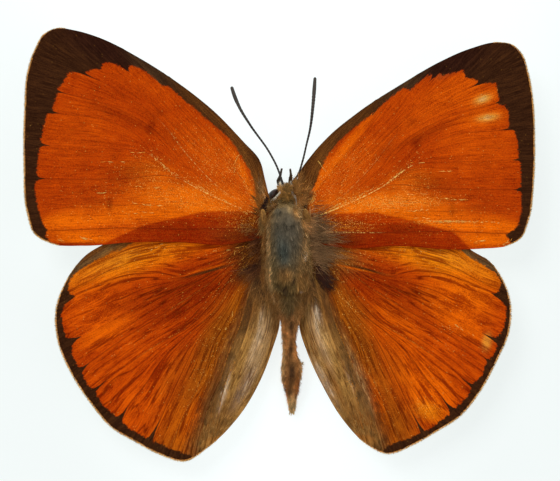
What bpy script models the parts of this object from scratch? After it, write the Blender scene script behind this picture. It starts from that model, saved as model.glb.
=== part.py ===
"""Spread butterfly specimen, resting on the flat of its breast and on its six feet.

Each wing, eye, feeler, palp and leg is its own solid beside the head, the thorax and the abdomen.
Lengths are in millimetres and become metres as a mesh is made.
+X is the insect's right, +Y is ahead of its head and +Z is up, away from the surface it rests on.
"""

import math

import bpy
import numpy as np
from mathutils import Matrix, Vector

MM = 0.001

# Driving dimensions
GAP = 0.12  # between a piece and its neighbour
MIDLINE = 0.6  # x of the thorax's middle plane, because the wings aren't spread quite evenly
WING_THICKNESS = 0.2
FOREWING_LEVEL = 3.0  # height of the wing's upper face at its root
HINDWING_LEVEL = 2.55
WING_RISE = math.tan(math.radians(3.0))  # the spread wings lift a little towards their tips
VEIN_CREST = 0.07  # how far a vein stands above the membrane between it and the next
GUTTER_DROP = 0.9  # how far the hindwing's inner edge bends down beside the abdomen
GUTTER_WIDTH = 2.0
BODY_SIDES = 20
FLAT_LEVEL = 0.0  # the breast is flattened where it rests

# Wing shapes, as points (x, y). root runs from the leading corner to the trailing corner.
# edge runs round the wing from near the first corner to near the second.
# veins are the places on the edge where a vein ends. fold is the line past which the gutter bends down.
LEFT_FOREWING = {
    "root": [(-1.25, 3.35), (-1.5, 0.7)],
    "edge": [
        (-1.2, 5.2), (-1.75, 7.1), (-3.0, 8.5), (-5.4, 11.0), (-8.3, 13.3), (-11.6, 15.5), (-14.95, 17.2),
        (-17.0, 17.8), (-18.45, 17.95), (-19.5, 17.45), (-20.25, 16.15), (-20.85, 14.3), (-21.1, 11.15),
        (-21.15, 6.6), (-20.9, 2.7), (-20.25, 0.85), (-18.7, 0.0), (-16.2, -0.1), (-12.45, 0.2), (-8.3, 0.2),
        (-4.55, 0.0), (-2.5, 0.3),
    ],
    "veins": [
        (-9.5, 14.2), (-12.9, 16.2), (-15.1, 17.3), (-19.0, 17.8), (-20.45, 15.65), (-21.0, 13.25),
        (-21.1, 11.25), (-21.15, 8.4), (-21.15, 5.5), (-21.0, 3.2), (-20.5, 1.2),
    ],
}
RIGHT_FOREWING = {
    "root": [(1.9, 3.45), (2.85, 0.55)],
    "edge": [
        (1.3, 4.75), (1.65, 6.0), (2.65, 7.45), (4.15, 9.1), (6.65, 11.1), (9.95, 13.3), (13.3, 15.25),
        (15.75, 16.3), (18.0, 16.8), (19.25, 16.55), (20.0, 15.8), (20.5, 14.3), (20.9, 12.0), (21.05, 8.65),
        (20.95, 4.95), (20.6, 2.2), (19.85, 0.45), (18.7, -0.15), (16.6, -0.35), (13.3, -0.35), (9.95, -0.1),
        (5.8, -0.3), (3.75, -0.05),
    ],
    "veins": [
        (8.3, 12.2), (11.2, 14.1), (14.3, 15.7), (18.8, 16.7), (20.4, 14.75), (20.8, 12.5), (21.0, 10.2),
        (21.05, 7.2), (21.0, 4.6), (20.7, 2.6), (20.2, 1.0),
    ],
}
LEFT_HINDWING = {
    "root": [(-1.65, 1.35), (-1.65, -1.6)],
    "edge": [
        (-3.3, 2.75), (-5.4, 2.85), (-8.3, 2.35), (-11.6, 1.45), (-14.1, 0.3), (-16.2, -0.95), (-17.75, -3.05),
        (-18.6, -5.45), (-18.45, -7.95), (-17.25, -10.85), (-15.75, -13.15), (-13.95, -15.25), (-12.05, -16.4),
        (-9.95, -17.5), (-7.95, -18.05), (-6.0, -16.95), (-3.75, -14.8), (-1.9, -11.85), (-0.7, -8.75),
        (-0.15, -6.6), (-0.35, -5.3), (-0.85, -3.9), (-1.35, -2.8),
    ],
    "veins": [
        (-15.6, -0.5), (-18.25, -4.3), (-18.3, -8.5), (-16.9, -11.5), (-15.5, -13.5), (-13.1, -15.85),
        (-10.6, -17.2), (-7.7, -18.0), (-5.2, -16.3), (-2.8, -13.4),
    ],
    "fold": [(-1.65, -1.6), (-4.8, -16.0)],
}
RIGHT_HINDWING = {
    "root": [(2.9, 1.35), (2.85, -1.7)],
    "edge": [
        (4.3, 2.55), (6.65, 2.8), (9.15, 2.45), (12.05, 1.75), (14.55, 0.85), (15.75, -0.35), (17.45, -1.45),
        (18.5, -2.95), (19.15, -5.0), (19.0, -7.25), (18.0, -9.65), (16.6, -12.25), (14.95, -14.3),
        (13.05, -15.55), (11.05, -16.7), (8.95, -17.45), (7.3, -16.75), (5.5, -15.0), (3.75, -12.1),
        (2.4, -9.0), (1.85, -6.9), (1.95, -5.4), (2.3, -4.0), (2.6, -2.9),
    ],
    "veins": [
        (16.6, -0.9), (18.9, -4.2), (18.9, -7.6), (17.6, -10.5), (16.1, -13.0), (14.3, -14.8), (12.3, -16.0),
        (9.4, -17.4), (6.5, -16.1), (4.4, -13.3),
    ],
    "fold": [(2.85, -1.7), (6.1, -15.6)],
}
WING_ROWS = 8
COLUMN_WIDTH = 1.7  # most width of a strip of membrane at the wing's edge

# Body sections from the front: (y, x, z, half width, half height)
THORAX_SECTIONS = [
    (3.28, 0.33, 2.6, 0.83, 0.9), (2.86, 0.42, 2.5, 1.33, 1.5), (2.2, 0.5, 2.3, 1.74, 2.05),
    (1.2, 0.58, 2.15, 2.03, 2.4), (-0.46, 0.62, 2.1, 2.12, 2.5), (-1.95, 0.64, 2.15, 2.0, 2.4),
    (-2.95, 0.66, 2.3, 1.66, 1.95), (-3.6, 0.7, 2.35, 1.37, 1.5), (-3.94, 0.74, 2.4, 1.04, 1.1),
]
ABDOMEN_SECTIONS = [
    (-4.06, 0.78, 2.35, 1.0, 1.0), (-4.6, 0.8, 2.3, 1.12, 1.12), (-5.5, 0.82, 2.2, 1.0, 1.1),
    (-6.4, 0.84, 2.05, 0.78, 1.0), (-7.2, 0.78, 1.9, 0.65, 0.9), (-7.8, 0.76, 1.8, 0.55, 0.82),
    (-8.6, 0.8, 1.65, 0.58, 0.78), (-9.3, 0.86, 1.55, 0.64, 0.78), (-10.0, 0.98, 1.45, 0.84, 0.82),
    (-10.6, 0.98, 1.35, 0.9, 0.85), (-11.3, 0.94, 1.25, 0.82, 0.8), (-12.2, 1.0, 1.1, 0.58, 0.62),
    (-13.0, 1.0, 0.95, 0.34, 0.42), (-13.7, 1.02, 0.85, 0.27, 0.3), (-14.15, 1.03, 0.8, 0.22, 0.2),
]
HEAD_SECTIONS = [
    (5.1, 0.48, 2.3, 0.34, 0.4), (4.85, 0.48, 2.28, 0.55, 0.66), (4.5, 0.48, 2.25, 0.78, 0.9),
    (4.1, 0.47, 2.22, 0.98, 1.02), (3.75, 0.45, 2.22, 1.05, 0.98), (3.45, 0.42, 2.25, 0.9, 0.78),
]
SEGMENT_LENGTH = 1.15  # from one ring of the abdomen to the next
SEGMENT_GROOVE = 0.05  # share by which the abdomen narrows between two rings
SEGMENT_GROOVE_WIDTH = 0.16

EYE_RADII = (0.64, 0.38, 0.6)
EYE_TURN = math.radians(45.0)
EYE_OFFSET = 1.05  # from the head's middle to an eye's
EYE_PLACE = (0.48, 4.15, 2.0)  # the middle between the two eyes

TEGULA_RADII = (0.26, 0.72, 0.15)
TEGULA_PLACES = {"left": (-1.36, 2.35, 3.42, 8.0), "right": (2.24, 2.4, 3.42, 14.0)}  # x, y, z, turn in degrees

# Feelers, palps and legs, as points (x, y, z, radius) from the body outwards
LEFT_ANTENNA = [
    (0.24, 5.02, 2.98, 0.09), (0.08, 5.55, 3.08, 0.08), (-0.25, 6.45, 3.2, 0.075), (-0.85, 7.6, 3.35, 0.075),
    (-2.5, 9.95, 3.65, 0.09), (-3.3, 11.25, 3.8, 0.12), (-3.75, 12.25, 3.88, 0.155), (-4.0, 13.0, 3.9, 0.13),
]
RIGHT_ANTENNA = [
    (0.95, 5.1, 2.42, 0.09), (1.45, 5.75, 2.54, 0.08), (1.92, 7.1, 2.95, 0.075), (2.2, 8.3, 3.2, 0.075),
    (2.5, 9.6, 3.42, 0.09), (2.72, 11.4, 3.7, 0.13), (2.84, 12.9, 3.86, 0.155), (2.88, 13.7, 3.9, 0.13),
]
LEFT_PALP = [(-0.1, 4.98, 1.72, 0.13), (-0.12, 5.3, 1.82, 0.19), (0.0, 5.7, 1.95, 0.1), (0.15, 6.35, 2.1, 0.045)]
RIGHT_PALP = [(0.82, 5.2, 1.72, 0.13), (0.87, 5.42, 1.82, 0.18), (0.91, 5.75, 1.95, 0.09), (0.86, 6.3, 2.1, 0.045)]
# A leg's x is counted outwards from the midline.
LEGS = {
    "foreleg": [
        (1.15, 2.35, 0.75, 0.15), (1.9, 3.1, 1.12, 0.17), (2.55, 3.75, 1.05, 0.13), (2.95, 4.5, 0.6, 0.11),
        (3.3, 5.2, 0.22, 0.09), (3.7, 6.0, 0.07, 0.07), (4.0, 6.6, 0.06, 0.055),
    ],
    "midleg": [
        (1.8, 0.2, 0.55, 0.16), (2.7, 0.75, 1.05, 0.18), (3.5, 1.05, 1.25, 0.14), (4.1, 0.65, 0.98, 0.12),
        (4.6, -0.2, 0.5, 0.1), (4.85, -0.95, 0.17, 0.09), (5.0, -1.9, 0.07, 0.07), (5.15, -2.9, 0.06, 0.055),
    ],
    "hindleg": [
        (1.75, -1.9, 0.6, 0.15), (2.6, -2.5, 1.05, 0.17), (3.25, -3.2, 1.2, 0.14), (3.6, -4.2, 0.95, 0.11),
        (3.8, -5.4, 0.5, 0.1), (3.95, -6.4, 0.19, 0.09), (4.1, -7.5, 0.07, 0.07), (4.2, -8.7, 0.06, 0.055),
    ],
}
PROBOSCIS_CENTRE = (0.45, 4.55, 0.92)
PROBOSCIS_TURNS = 2.1
PROBOSCIS_RADII = (0.13, 0.37)  # of the coil's inner and outer turn
PROBOSCIS_TUBE = 0.045


def clear_scene():
    for obj in list(bpy.data.objects):
        bpy.data.objects.remove(obj)


def material(name, colour, roughness, metallic=0.0):
    made = bpy.data.materials.new(name)
    made.use_nodes = True
    shader = made.node_tree.nodes["Principled BSDF"]
    shader.inputs["Base Color"].default_value = (*colour, 1.0)
    shader.inputs["Roughness"].default_value = roughness
    shader.inputs["Metallic"].default_value = metallic
    made.diffuse_color = (*colour, 1.0)
    return made


def add_mesh(name, points, faces, finish):
    """One object from points in millimetres, shaded smooth except across sharp edges."""
    mesh = bpy.data.meshes.new(name)
    mesh.from_pydata([tuple(p) for p in np.asarray(points) * MM], [], faces)
    mesh.materials.append(finish)
    mesh.shade_smooth()
    mesh.set_sharp_from_angle(angle=math.radians(40))
    obj = bpy.data.objects.new(name, mesh)
    bpy.context.scene.collection.objects.link(obj)
    return obj


def smooth_curve(knots, at):
    """The curve through the knots, at shares from 0 to 1 of its length. Its slope at a knot is the parabola's
    through that knot and its two neighbours, and each stretch between is a cubic with those slopes."""
    knots = np.asarray(knots, float)
    steps = np.linalg.norm(np.diff(knots[:, :3], axis=0), axis=1)
    along = np.concatenate([[0.0], np.cumsum(steps)])
    slopes = np.gradient(knots, along, axis=0)
    place = np.asarray(at, float) * along[-1]
    first = np.clip(np.searchsorted(along, place, side="right") - 1, 0, len(steps) - 1)
    length = steps[first][:, None]
    u = (place[:, None] - along[first][:, None]) / length
    return (
        (2 * u**3 - 3 * u**2 + 1) * knots[first]
        + (u**3 - 2 * u**2 + u) * length * slopes[first]
        + (3 * u**2 - 2 * u**3) * knots[first + 1]
        + (u**3 - u**2) * length * slopes[first + 1]
    )


def edge_columns(edge, vein_ends):
    """Shares along the wing's edge where a strip of membrane ends, and True for those where a vein ends."""
    shares = np.linspace(0.0, 1.0, 2001)
    line = smooth_curve(edge, shares)
    length = np.linalg.norm(np.diff(line, axis=0), axis=1).sum()
    stops = [0.0]
    for end in vein_ends:
        stops.append(shares[np.argmin(np.linalg.norm(line - np.array(end), axis=1))])
    stops.append(1.0)
    columns, on_vein = [0.0], [False]
    for before, after in zip(stops, stops[1:]):
        strips = 2 * max(1, math.ceil((after - before) * length / COLUMN_WIDTH / 2))
        columns += list(np.linspace(before, after, strips + 1)[1:])
        on_vein += [False] * (strips - 1) + [after < 1.0]
    return np.array(columns), np.array(on_vein)


def wing_height(x, y, level, fold=None):
    """Height of the membrane: it rises evenly outwards, and past a hindwing's fold it curves down as the
    square of the distance from the fold line."""
    height = level + WING_RISE * np.abs(x - MIDLINE)
    if fold:
        (fx, fy), (tx, ty) = fold
        side = math.copysign(1.0, MIDLINE - fx)
        past = side * ((x - fx) * (fy - ty) + (y - fy) * (tx - fx)) / math.hypot(tx - fx, ty - fy)
        height = height - GUTTER_DROP * (np.clip(past, 0.0, None) / GUTTER_WIDTH) ** 2
    return height


def add_wing(name, shape, level, finish):
    """A fan of strips from the root to the edge. The membrane stands highest along the veins."""
    shares, on_vein = edge_columns(shape["edge"], shape["veins"])
    outer = smooth_curve(shape["edge"], shares)
    front, back = (np.array(p) for p in shape["root"])
    inner = front + shares[:, None] * (back - front)
    rows = np.linspace(0.0, 1.0, WING_ROWS)
    flat = inner[:, None] + rows[None, :, None] * (outer - inner)[:, None]
    height = wing_height(flat[..., 0], flat[..., 1], level, shape.get("fold"))
    height += VEIN_CREST * on_vein[:, None] * np.sin(np.pi * np.clip(rows, 0.0, 0.8) / 1.6)[None, :]
    points = np.concatenate([flat, height[..., None]], axis=2).reshape(-1, 3)
    faces = []
    for column in range(len(shares) - 1):
        for row in range(WING_ROWS - 1):
            corner = column * WING_ROWS + row
            faces.append((corner, corner + 1, corner + WING_ROWS + 1, corner + WING_ROWS))
    wing = add_mesh(name, points, faces, finish)
    if wing.data.polygons[0].normal.z < 0:
        wing.data.flip_normals()
    solid = wing.modifiers.new("membrane", "SOLIDIFY")
    solid.thickness = WING_THICKNESS * MM
    solid.offset = -1.0
    return wing


def add_loft(name, sections, finish, rings, floor=None, groove=0.0):
    """A round body through elliptic sections along y, closed at both ends. With a floor, it is flat below.
    With a groove, it narrows a little at each segment's end."""
    section = smooth_curve(sections, np.linspace(0.0, 1.0, rings))
    y, x, z, half_width, half_height = (column[:, None] for column in section.T)
    if groove:
        nearest = (y - y[0] + SEGMENT_LENGTH / 2) % SEGMENT_LENGTH - SEGMENT_LENGTH / 2
        waist = 1.0 - groove * np.exp(-((nearest / SEGMENT_GROOVE_WIDTH) ** 2))
        half_width, half_height = half_width * waist, half_height * waist
    turn = np.linspace(0.0, 2 * np.pi, BODY_SIDES, endpoint=False)[None, :]
    height = z + half_height * np.sin(turn)
    if floor is not None:
        height = np.maximum(height, floor)
    across = x + half_width * np.cos(turn)
    points = np.stack([across, y + 0 * turn, height], axis=2).reshape(-1, 3)
    faces = []
    for ring in range(rings - 1):
        for side in range(BODY_SIDES):
            a = ring * BODY_SIDES + side
            b = ring * BODY_SIDES + (side + 1) % BODY_SIDES
            faces.append((a, b, b + BODY_SIDES, a + BODY_SIDES))
    faces.append(tuple(range(BODY_SIDES))[::-1])
    faces.append(tuple((rings - 1) * BODY_SIDES + side for side in range(BODY_SIDES)))
    return add_mesh(name, points, faces, finish)


def add_ellipsoid(name, place, radii, turn, finish, grow=0.0, segments=14, rings=9):
    bpy.ops.mesh.primitive_uv_sphere_add(segments=segments, ring_count=rings, radius=MM)
    obj = bpy.context.object
    obj.name = obj.data.name = name
    scale = Matrix.Diagonal((*(r + grow for r in radii), 1.0))
    obj.data.transform(Matrix.Rotation(turn, 4, "Z") @ scale)
    obj.data.materials.append(finish)
    obj.data.shade_smooth()
    obj.location = Vector(place) * MM
    return obj


def add_tube(name, knots, finish, count, resolution=1):
    """A round tube along a smooth curve through points (x, y, z, radius), with closed ends."""
    curve = bpy.data.curves.new(name, "CURVE")
    curve.dimensions = "3D"
    curve.bevel_depth = MM
    curve.bevel_resolution = resolution
    curve.use_fill_caps = True
    spline = curve.splines.new("POLY")
    spline.points.add(count - 1)
    for point, (x, y, z, radius) in zip(spline.points, smooth_curve(knots, np.linspace(0.0, 1.0, count))):
        point.co = (x * MM, y * MM, max(z, radius) * MM, 1.0)
        point.radius = radius
    curve.materials.append(finish)
    obj = bpy.data.objects.new(name, curve)
    bpy.context.scene.collection.objects.link(obj)
    return obj


def cut_socket(body, side, eye):
    """Hollows the head where an eye sits, so that the eye keeps its gap all round."""
    cutter = add_ellipsoid(f"{side}_socket", (0, 0, 0), EYE_RADII, eye["turn"], eye["finish"], grow=GAP)
    cutter.location = Vector(eye["place"]) * MM
    cutter.hide_render = True
    cutter.display_type = "WIRE"
    cut = body.modifiers.new(f"{side}_socket", "BOOLEAN")
    cut.operation = "DIFFERENCE"
    cut.object = cutter


def build_head(skin, eye_finish, feeler_finish):
    head = add_loft("head", HEAD_SECTIONS, skin, rings=9)
    for side, sign in (("left", -1), ("right", 1)):
        x, y, z = EYE_PLACE
        eye = {"place": (x + sign * EYE_OFFSET, y, z), "turn": -sign * EYE_TURN, "finish": eye_finish}
        add_ellipsoid(f"{side}_eye", eye["place"], EYE_RADII, eye["turn"], eye_finish)
        cut_socket(head, side, eye)
    for name, knots in (("left_antenna", LEFT_ANTENNA), ("right_antenna", RIGHT_ANTENNA)):
        add_tube(name, knots, feeler_finish, count=20)
    for name, knots in (("left_palp", LEFT_PALP), ("right_palp", RIGHT_PALP)):
        add_tube(name, knots, feeler_finish, count=8)
    turn = np.linspace(0.0, 2 * np.pi * PROBOSCIS_TURNS, 26)
    inner, outer = PROBOSCIS_RADII
    radius = outer + (inner - outer) * turn / turn[-1]
    x, y, z = PROBOSCIS_CENTRE
    coil = [(x, y + r * math.cos(a), z + r * math.sin(a), PROBOSCIS_TUBE) for r, a in zip(radius, turn)]
    add_tube("proboscis", coil, feeler_finish, count=26)


def build_legs(finish):
    for leg, knots in LEGS.items():
        for side, sign in (("left", -1), ("right", 1)):
            placed = [(MIDLINE + sign * x, y, z, radius) for x, y, z, radius in knots]
            add_tube(f"{side}_{leg}", placed, finish, count=16)


def build_wings(orange):
    add_wing("left_forewing", LEFT_FOREWING, FOREWING_LEVEL, orange)
    add_wing("right_forewing", RIGHT_FOREWING, FOREWING_LEVEL, orange)
    add_wing("left_hindwing", LEFT_HINDWING, HINDWING_LEVEL, orange)
    add_wing("right_hindwing", RIGHT_HINDWING, HINDWING_LEVEL, orange)


def build():
    clear_scene()
    orange = material("wing_scales", (0.47, 0.06, 0.003), 0.5)
    grey_fur = material("grey_fur", (0.09, 0.07, 0.045), 0.9)
    brown_fur = material("brown_fur", (0.16, 0.08, 0.03), 0.85)
    abdomen_skin = material("abdomen_skin", (0.3, 0.13, 0.04), 0.7)
    eye_finish = material("eye", (0.02, 0.01, 0.008), 0.2)
    feeler_finish = material("feeler", (0.03, 0.027, 0.025), 0.6)
    leg_finish = material("leg", (0.35, 0.27, 0.18), 0.7)
    add_loft("thorax", THORAX_SECTIONS, grey_fur, rings=16, floor=FLAT_LEVEL)
    add_loft("abdomen", ABDOMEN_SECTIONS, abdomen_skin, rings=31, groove=SEGMENT_GROOVE)
    build_head(brown_fur, eye_finish, feeler_finish)
    for side, (x, y, z, turn) in TEGULA_PLACES.items():
        add_ellipsoid(f"{side}_tegula", (x, y, z), TEGULA_RADII, math.radians(turn), brown_fur)
    build_legs(leg_finish)
    build_wings(orange)


build()
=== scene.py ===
"""Looks of a spread butterfly specimen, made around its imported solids.

Wings are grids woven between their veins, the body is lofted through elliptic sections, and hair, fringes
and loose scales are closed spikes and flakes. Places on the specimen are in millimetres, or in pixels of the
photograph where a mark was read from it; from_photo turns the second into the first.
"""

import math

import bpy
import numpy as np
from bpy.props import FloatProperty, FloatVectorProperty, IntProperty, PointerProperty
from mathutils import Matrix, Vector


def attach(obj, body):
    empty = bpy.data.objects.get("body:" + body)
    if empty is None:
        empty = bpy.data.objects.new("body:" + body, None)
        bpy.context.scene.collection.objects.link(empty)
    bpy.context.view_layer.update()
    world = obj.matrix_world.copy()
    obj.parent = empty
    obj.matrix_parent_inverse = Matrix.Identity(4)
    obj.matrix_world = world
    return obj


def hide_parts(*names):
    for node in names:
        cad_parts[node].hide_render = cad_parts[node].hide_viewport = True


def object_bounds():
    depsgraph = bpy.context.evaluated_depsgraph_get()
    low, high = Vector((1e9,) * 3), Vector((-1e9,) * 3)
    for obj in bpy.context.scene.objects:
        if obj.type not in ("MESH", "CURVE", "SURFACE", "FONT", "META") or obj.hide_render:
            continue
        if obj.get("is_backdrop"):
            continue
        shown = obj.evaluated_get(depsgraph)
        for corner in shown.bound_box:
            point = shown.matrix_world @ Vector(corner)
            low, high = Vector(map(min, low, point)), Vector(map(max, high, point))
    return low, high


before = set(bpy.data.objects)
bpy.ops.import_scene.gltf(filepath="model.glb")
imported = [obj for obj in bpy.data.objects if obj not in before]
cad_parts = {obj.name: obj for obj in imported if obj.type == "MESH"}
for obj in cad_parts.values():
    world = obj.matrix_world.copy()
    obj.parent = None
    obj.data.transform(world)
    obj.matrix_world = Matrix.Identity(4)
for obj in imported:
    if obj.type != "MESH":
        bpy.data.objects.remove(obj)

bl_info = {
    "name": "Spread Butterfly Specimen",
    "version": (1, 0, 0),
    "blender": (4, 5, 0),
    "location": "View3D > Sidebar > Specimen",
    "description": "Builds the wings, body, hair and stage of a spread butterfly specimen",
    "category": "Object",
}

MM = 0.001
PIXEL = 42.0 / 506.0  # millimetres; the spread of 42 mm covers 506 pixels
PHOTO_CENTRE = (280.0, 244.5)  # pixel at x = 0, y = 0
MIDLINE = 0.6
FOREWING_LEVEL = 3.0
HINDWING_LEVEL = 2.55
WING_RISE = math.tan(math.radians(3.0))
GUTTER_DROP = 0.9
GUTTER_WIDTH = 2.0
ROOT_REACH = 0.5  # how far the membrane goes on inwards from the solid's root, under the hair
SKIN_DEPTH = 0.03  # how far the membrane's upper face lies below the solid's

WING_ROWS = 180
STRIP_COLUMNS = 20
FRINGE_INSET = 0.3  # share of the fringe's length by which the membrane is drawn in
FRINGE_DENSITY = 80  # scales a millimetre
GREY_STRIPS = (8.3, 9.3)  # where the hindwing turns grey, counted in strips from the front
PLEAT_CEILING = 0.05  # most that veins and pleats stand above the solid
STREAKS = {"hind": 0.62, "fore": 1.0}  # streaks across a strip, against the material's own spacing
PLEATS = {"hind": 1.5, "fore": 0.8}  # share of the pleat height
SAG = {"hind": -0.06, "fore": -0.03}  # the membrane's dip between two veins
VEIN_WIDTH = 0.075
VEIN_TAPER = 0.75  # share of a vein's height that is lost by the wing's edge
BROWN_STRIPS = (6.3, 8.0)  # where the hindwing turns brown
BROWN_STRENGTH = 0.85
# Painted shade: share of dark red laid on the forewing where the hindwing lies under it
EMBER_OVERLAP_SHADE = 0.25  # dark red mixed in where the hindwing lies under the forewing
TRIM_STEPS = (60, 160)  # steps of the outline over which the fringe's room opens and closes
GROOVE_WIDTH = 0.1

# Hair: where on its solid it roots, as shares of the length and of the radius, its length in millimetres, or
# as a share of a tuft's, its radius as a share of the setting, and the clumps it gathers in
FUR = {
    "thorax": {
        "span": (0.0, 0.97), "depth": 0.92, "length": (0.35, 0.75), "radius": (0.7, 1.3), "clumps": 1300,
    },
    "abdomen": {
        "span": (0.0, 0.985), "depth": 0.9, "length": (0.22, 0.48), "radius": (0.6, 1.1), "clumps": 420,
    },
    "head": {
        "span": (0.02, 0.98), "depth": 0.86, "length": (0.2, 0.38), "radius": (0.6, 1.1), "clumps": 240,
    },
    "inner": {"length": (0.35, 0.85), "radius": (0.4, 0.7), "clumps": 380},
    "tufts": {"length": (0.45, 1.1), "radius": (0.5, 0.95)},
}
TUFT_CLUMP = 14  # hairs a clump in a tuft
ANTENNA_DOTS = ((0.24, 5.0), (0.95, 5.05))  # pale hair round the feelers' sockets
DOT_RADIUS = 0.22
INNER_HAIRS = 5200
EYE_RIM_HAIRS = 600
PALP_HAIRS = 1300
TEGULA_HAIRS = 700
LEG_HAIRS = 1100
TAIL_SPIKES = 46
# Painted highlights: share of hairs made thicker and paler, standing for hairs that catch the light
HIGHLIGHT_HAIR_SHARE = 0.05  # hairs that are thicker and paler than the rest
HAIR_CEILING = 4.55
HAIR_FLOOR = 0.005
SCALE_FLOOR = 0.004
SKIN_SHADE = 0.75
LIMB_SIDES = 14
LEG_JOINTS = (0.13, 0.45, 0.74, 0.81, 0.87, 0.93)
BELLY_SCREEN = (150, 132, 104)
TAIL_SCREEN = (214, 178, 122)

# Wings. root, edge and fold are in millimetres as in the solids; the rest is in pixels of the photograph.
# first and last are where the leading and trailing edges end, veins run between them from the front back,
# and border is the inner edge of the dark border. A tooth is (vein, length, half width) in millimetres.
LEFT_FOREWING = {
    "name": "left_forewing",
    "level": FOREWING_LEVEL,
    "root": [(-1.25, 3.35), (-1.5, 0.7)],
    "edge": [
        (-1.2, 5.2), (-1.75, 7.1), (-3.0, 8.5), (-5.4, 11.0), (-8.3, 13.3), (-11.6, 15.5), (-14.95, 17.2),
        (-17.0, 17.8), (-18.45, 17.95), (-19.5, 17.45), (-20.25, 16.15), (-20.85, 14.3), (-21.1, 11.15),
        (-21.15, 6.6), (-20.9, 2.7), (-20.25, 0.85), (-18.7, 0.0), (-16.2, -0.1), (-12.45, 0.2), (-8.3, 0.2),
        (-4.55, 0.0), (-2.5, 0.3),
    ],
    "first": (172, 78.5),
    "last": (60, 245),
    "veins": [
        [(264, 208), (251, 183), (238, 155), (215, 127), (190, 100), (165, 73.5)],
        [(263.7, 211), (243, 180), (215, 145), (180, 108), (150, 72), (125, 49)],
        [(263.5, 213), (235, 180), (200, 147), (165, 112), (131, 74), (98, 37)],
        [(263.3, 214), (233, 182), (198, 150), (163, 115), (120, 78), (97, 68), (52, 29)],
        [(263.1, 215), (222, 190), (190, 158), (160, 121), (105, 84), (84, 74), (34, 56)],
        [(262.9, 216), (225, 196), (190, 167), (152, 128), (110, 106), (70, 95), (27, 84)],
        [(262.8, 217), (230, 202.5), (200, 188.3), (177, 175), (160, 161), (150, 151), (140, 138), (100, 119),
         (62, 114), (26, 109)],
        [(262.6, 218), (230, 203.8), (200, 189.7), (177, 176.5), (160, 162.5), (149, 154), (110, 149),
         (51, 146), (25, 143)],
        [(262.5, 219), (230, 204.9), (200, 190.9), (177, 177.9), (120, 179), (47, 179), (25, 178)],
        [(262.3, 222), (190, 204), (120, 205), (45, 205), (27.5, 206)],
        [(262, 227), (200, 229), (120, 228), (48, 230), (33, 230)],
    ],
    "border": [
        (258, 209), (256, 197), (254.5, 184), (251, 173), (244, 161), (238.5, 151.5), (230, 139), (220, 130),
        (210, 122), (200, 113), (191, 105), (186, 102), (170, 86.5), (162, 86), (155, 79), (147, 72.5),
        (138.5, 67.5), (131, 65.5), (125, 68.5), (116, 65), (106, 62), (99.5, 68.5), (93, 69.5), (86, 73.5),
        (70, 72.5), (66.5, 78), (63, 85), (58, 89), (57.5, 97), (54.5, 105), (53.5, 112.5), (48, 115),
        (45, 125), (42, 142), (40.5, 149), (39, 160), (38, 173), (36.5, 183.5), (36, 190), (37, 198),
        (39, 209), (43, 220), (46, 229), (46, 236), (51, 241.5), (55, 248),
    ],
    "closing": [(262, 262), (275, 215)],
    "teeth": [
        (3, 0.55, 0.28), (4, 0.2, 0.3), (5, 1.15, 0.09), (6, 0.85, 0.13), (7, 0.62, 0.14), (8, 0.78, 0.2),
        (9, 0.78, 0.26), (11, 0.25, 0.5),
    ],
}
RIGHT_FOREWING = {
    "name": "right_forewing",
    "level": FOREWING_LEVEL,
    "root": [(1.9, 3.45), (2.85, 0.55)],
    "edge": [
        (1.3, 4.75), (1.65, 6.0), (2.65, 7.45), (4.15, 9.1), (6.65, 11.1), (9.95, 13.3), (13.3, 15.25),
        (15.75, 16.3), (18.0, 16.8), (19.25, 16.55), (20.0, 15.8), (20.5, 14.3), (20.9, 12.0), (21.05, 8.65),
        (20.95, 4.95), (20.6, 2.2), (19.85, 0.45), (18.7, -0.15), (16.6, -0.35), (13.3, -0.35), (9.95, -0.1),
        (5.8, -0.3), (3.75, -0.05),
    ],
    "first": (374, 101.5),
    "last": (503, 246.5),
    "ends": [
        (380, 97.5), (415, 74.6), (452, 55.3), (506.5, 43.3), (525.8, 66.8), (530.6, 93.9), (533, 127),
        (533.6, 159), (533, 190), (529.4, 213), (523.4, 232.5),
    ],
    "border": [
        (315, 185.5), (320.5, 170), (326.5, 157), (334, 147), (345, 135.5), (359, 123.5), (373.5, 113),
        (380.5, 107), (385, 102), (392, 96), (402, 89), (405.5, 88.5), (410, 90.5), (413, 87.5),
        (422.5, 79.5), (430.5, 74), (435, 75.5), (438, 72), (443, 75.5), (452, 73), (462.5, 71), (466, 78),
        (476, 80.5), (479, 84), (495, 83.5), (497.5, 96), (499, 105), (504, 106), (508, 113), (508, 128),
        (513, 130), (517, 142), (517.5, 157), (519.5, 163), (520.5, 181), (520, 189), (520.5, 197),
        (520.5, 211), (517, 225), (513, 231), (507, 236), (509.5, 242), (510, 252),
    ],
    "closing": [(300, 262), (292, 215)],
    "teeth": [
        (3, 0.5, 0.3), (5, 0.9, 0.13), (6, 0.4, 0.15), (7, 0.85, 0.09), (8, 0.5, 0.2), (9, 0.6, 0.25),
        (11, 0.25, 0.45),
    ],
}
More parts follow.
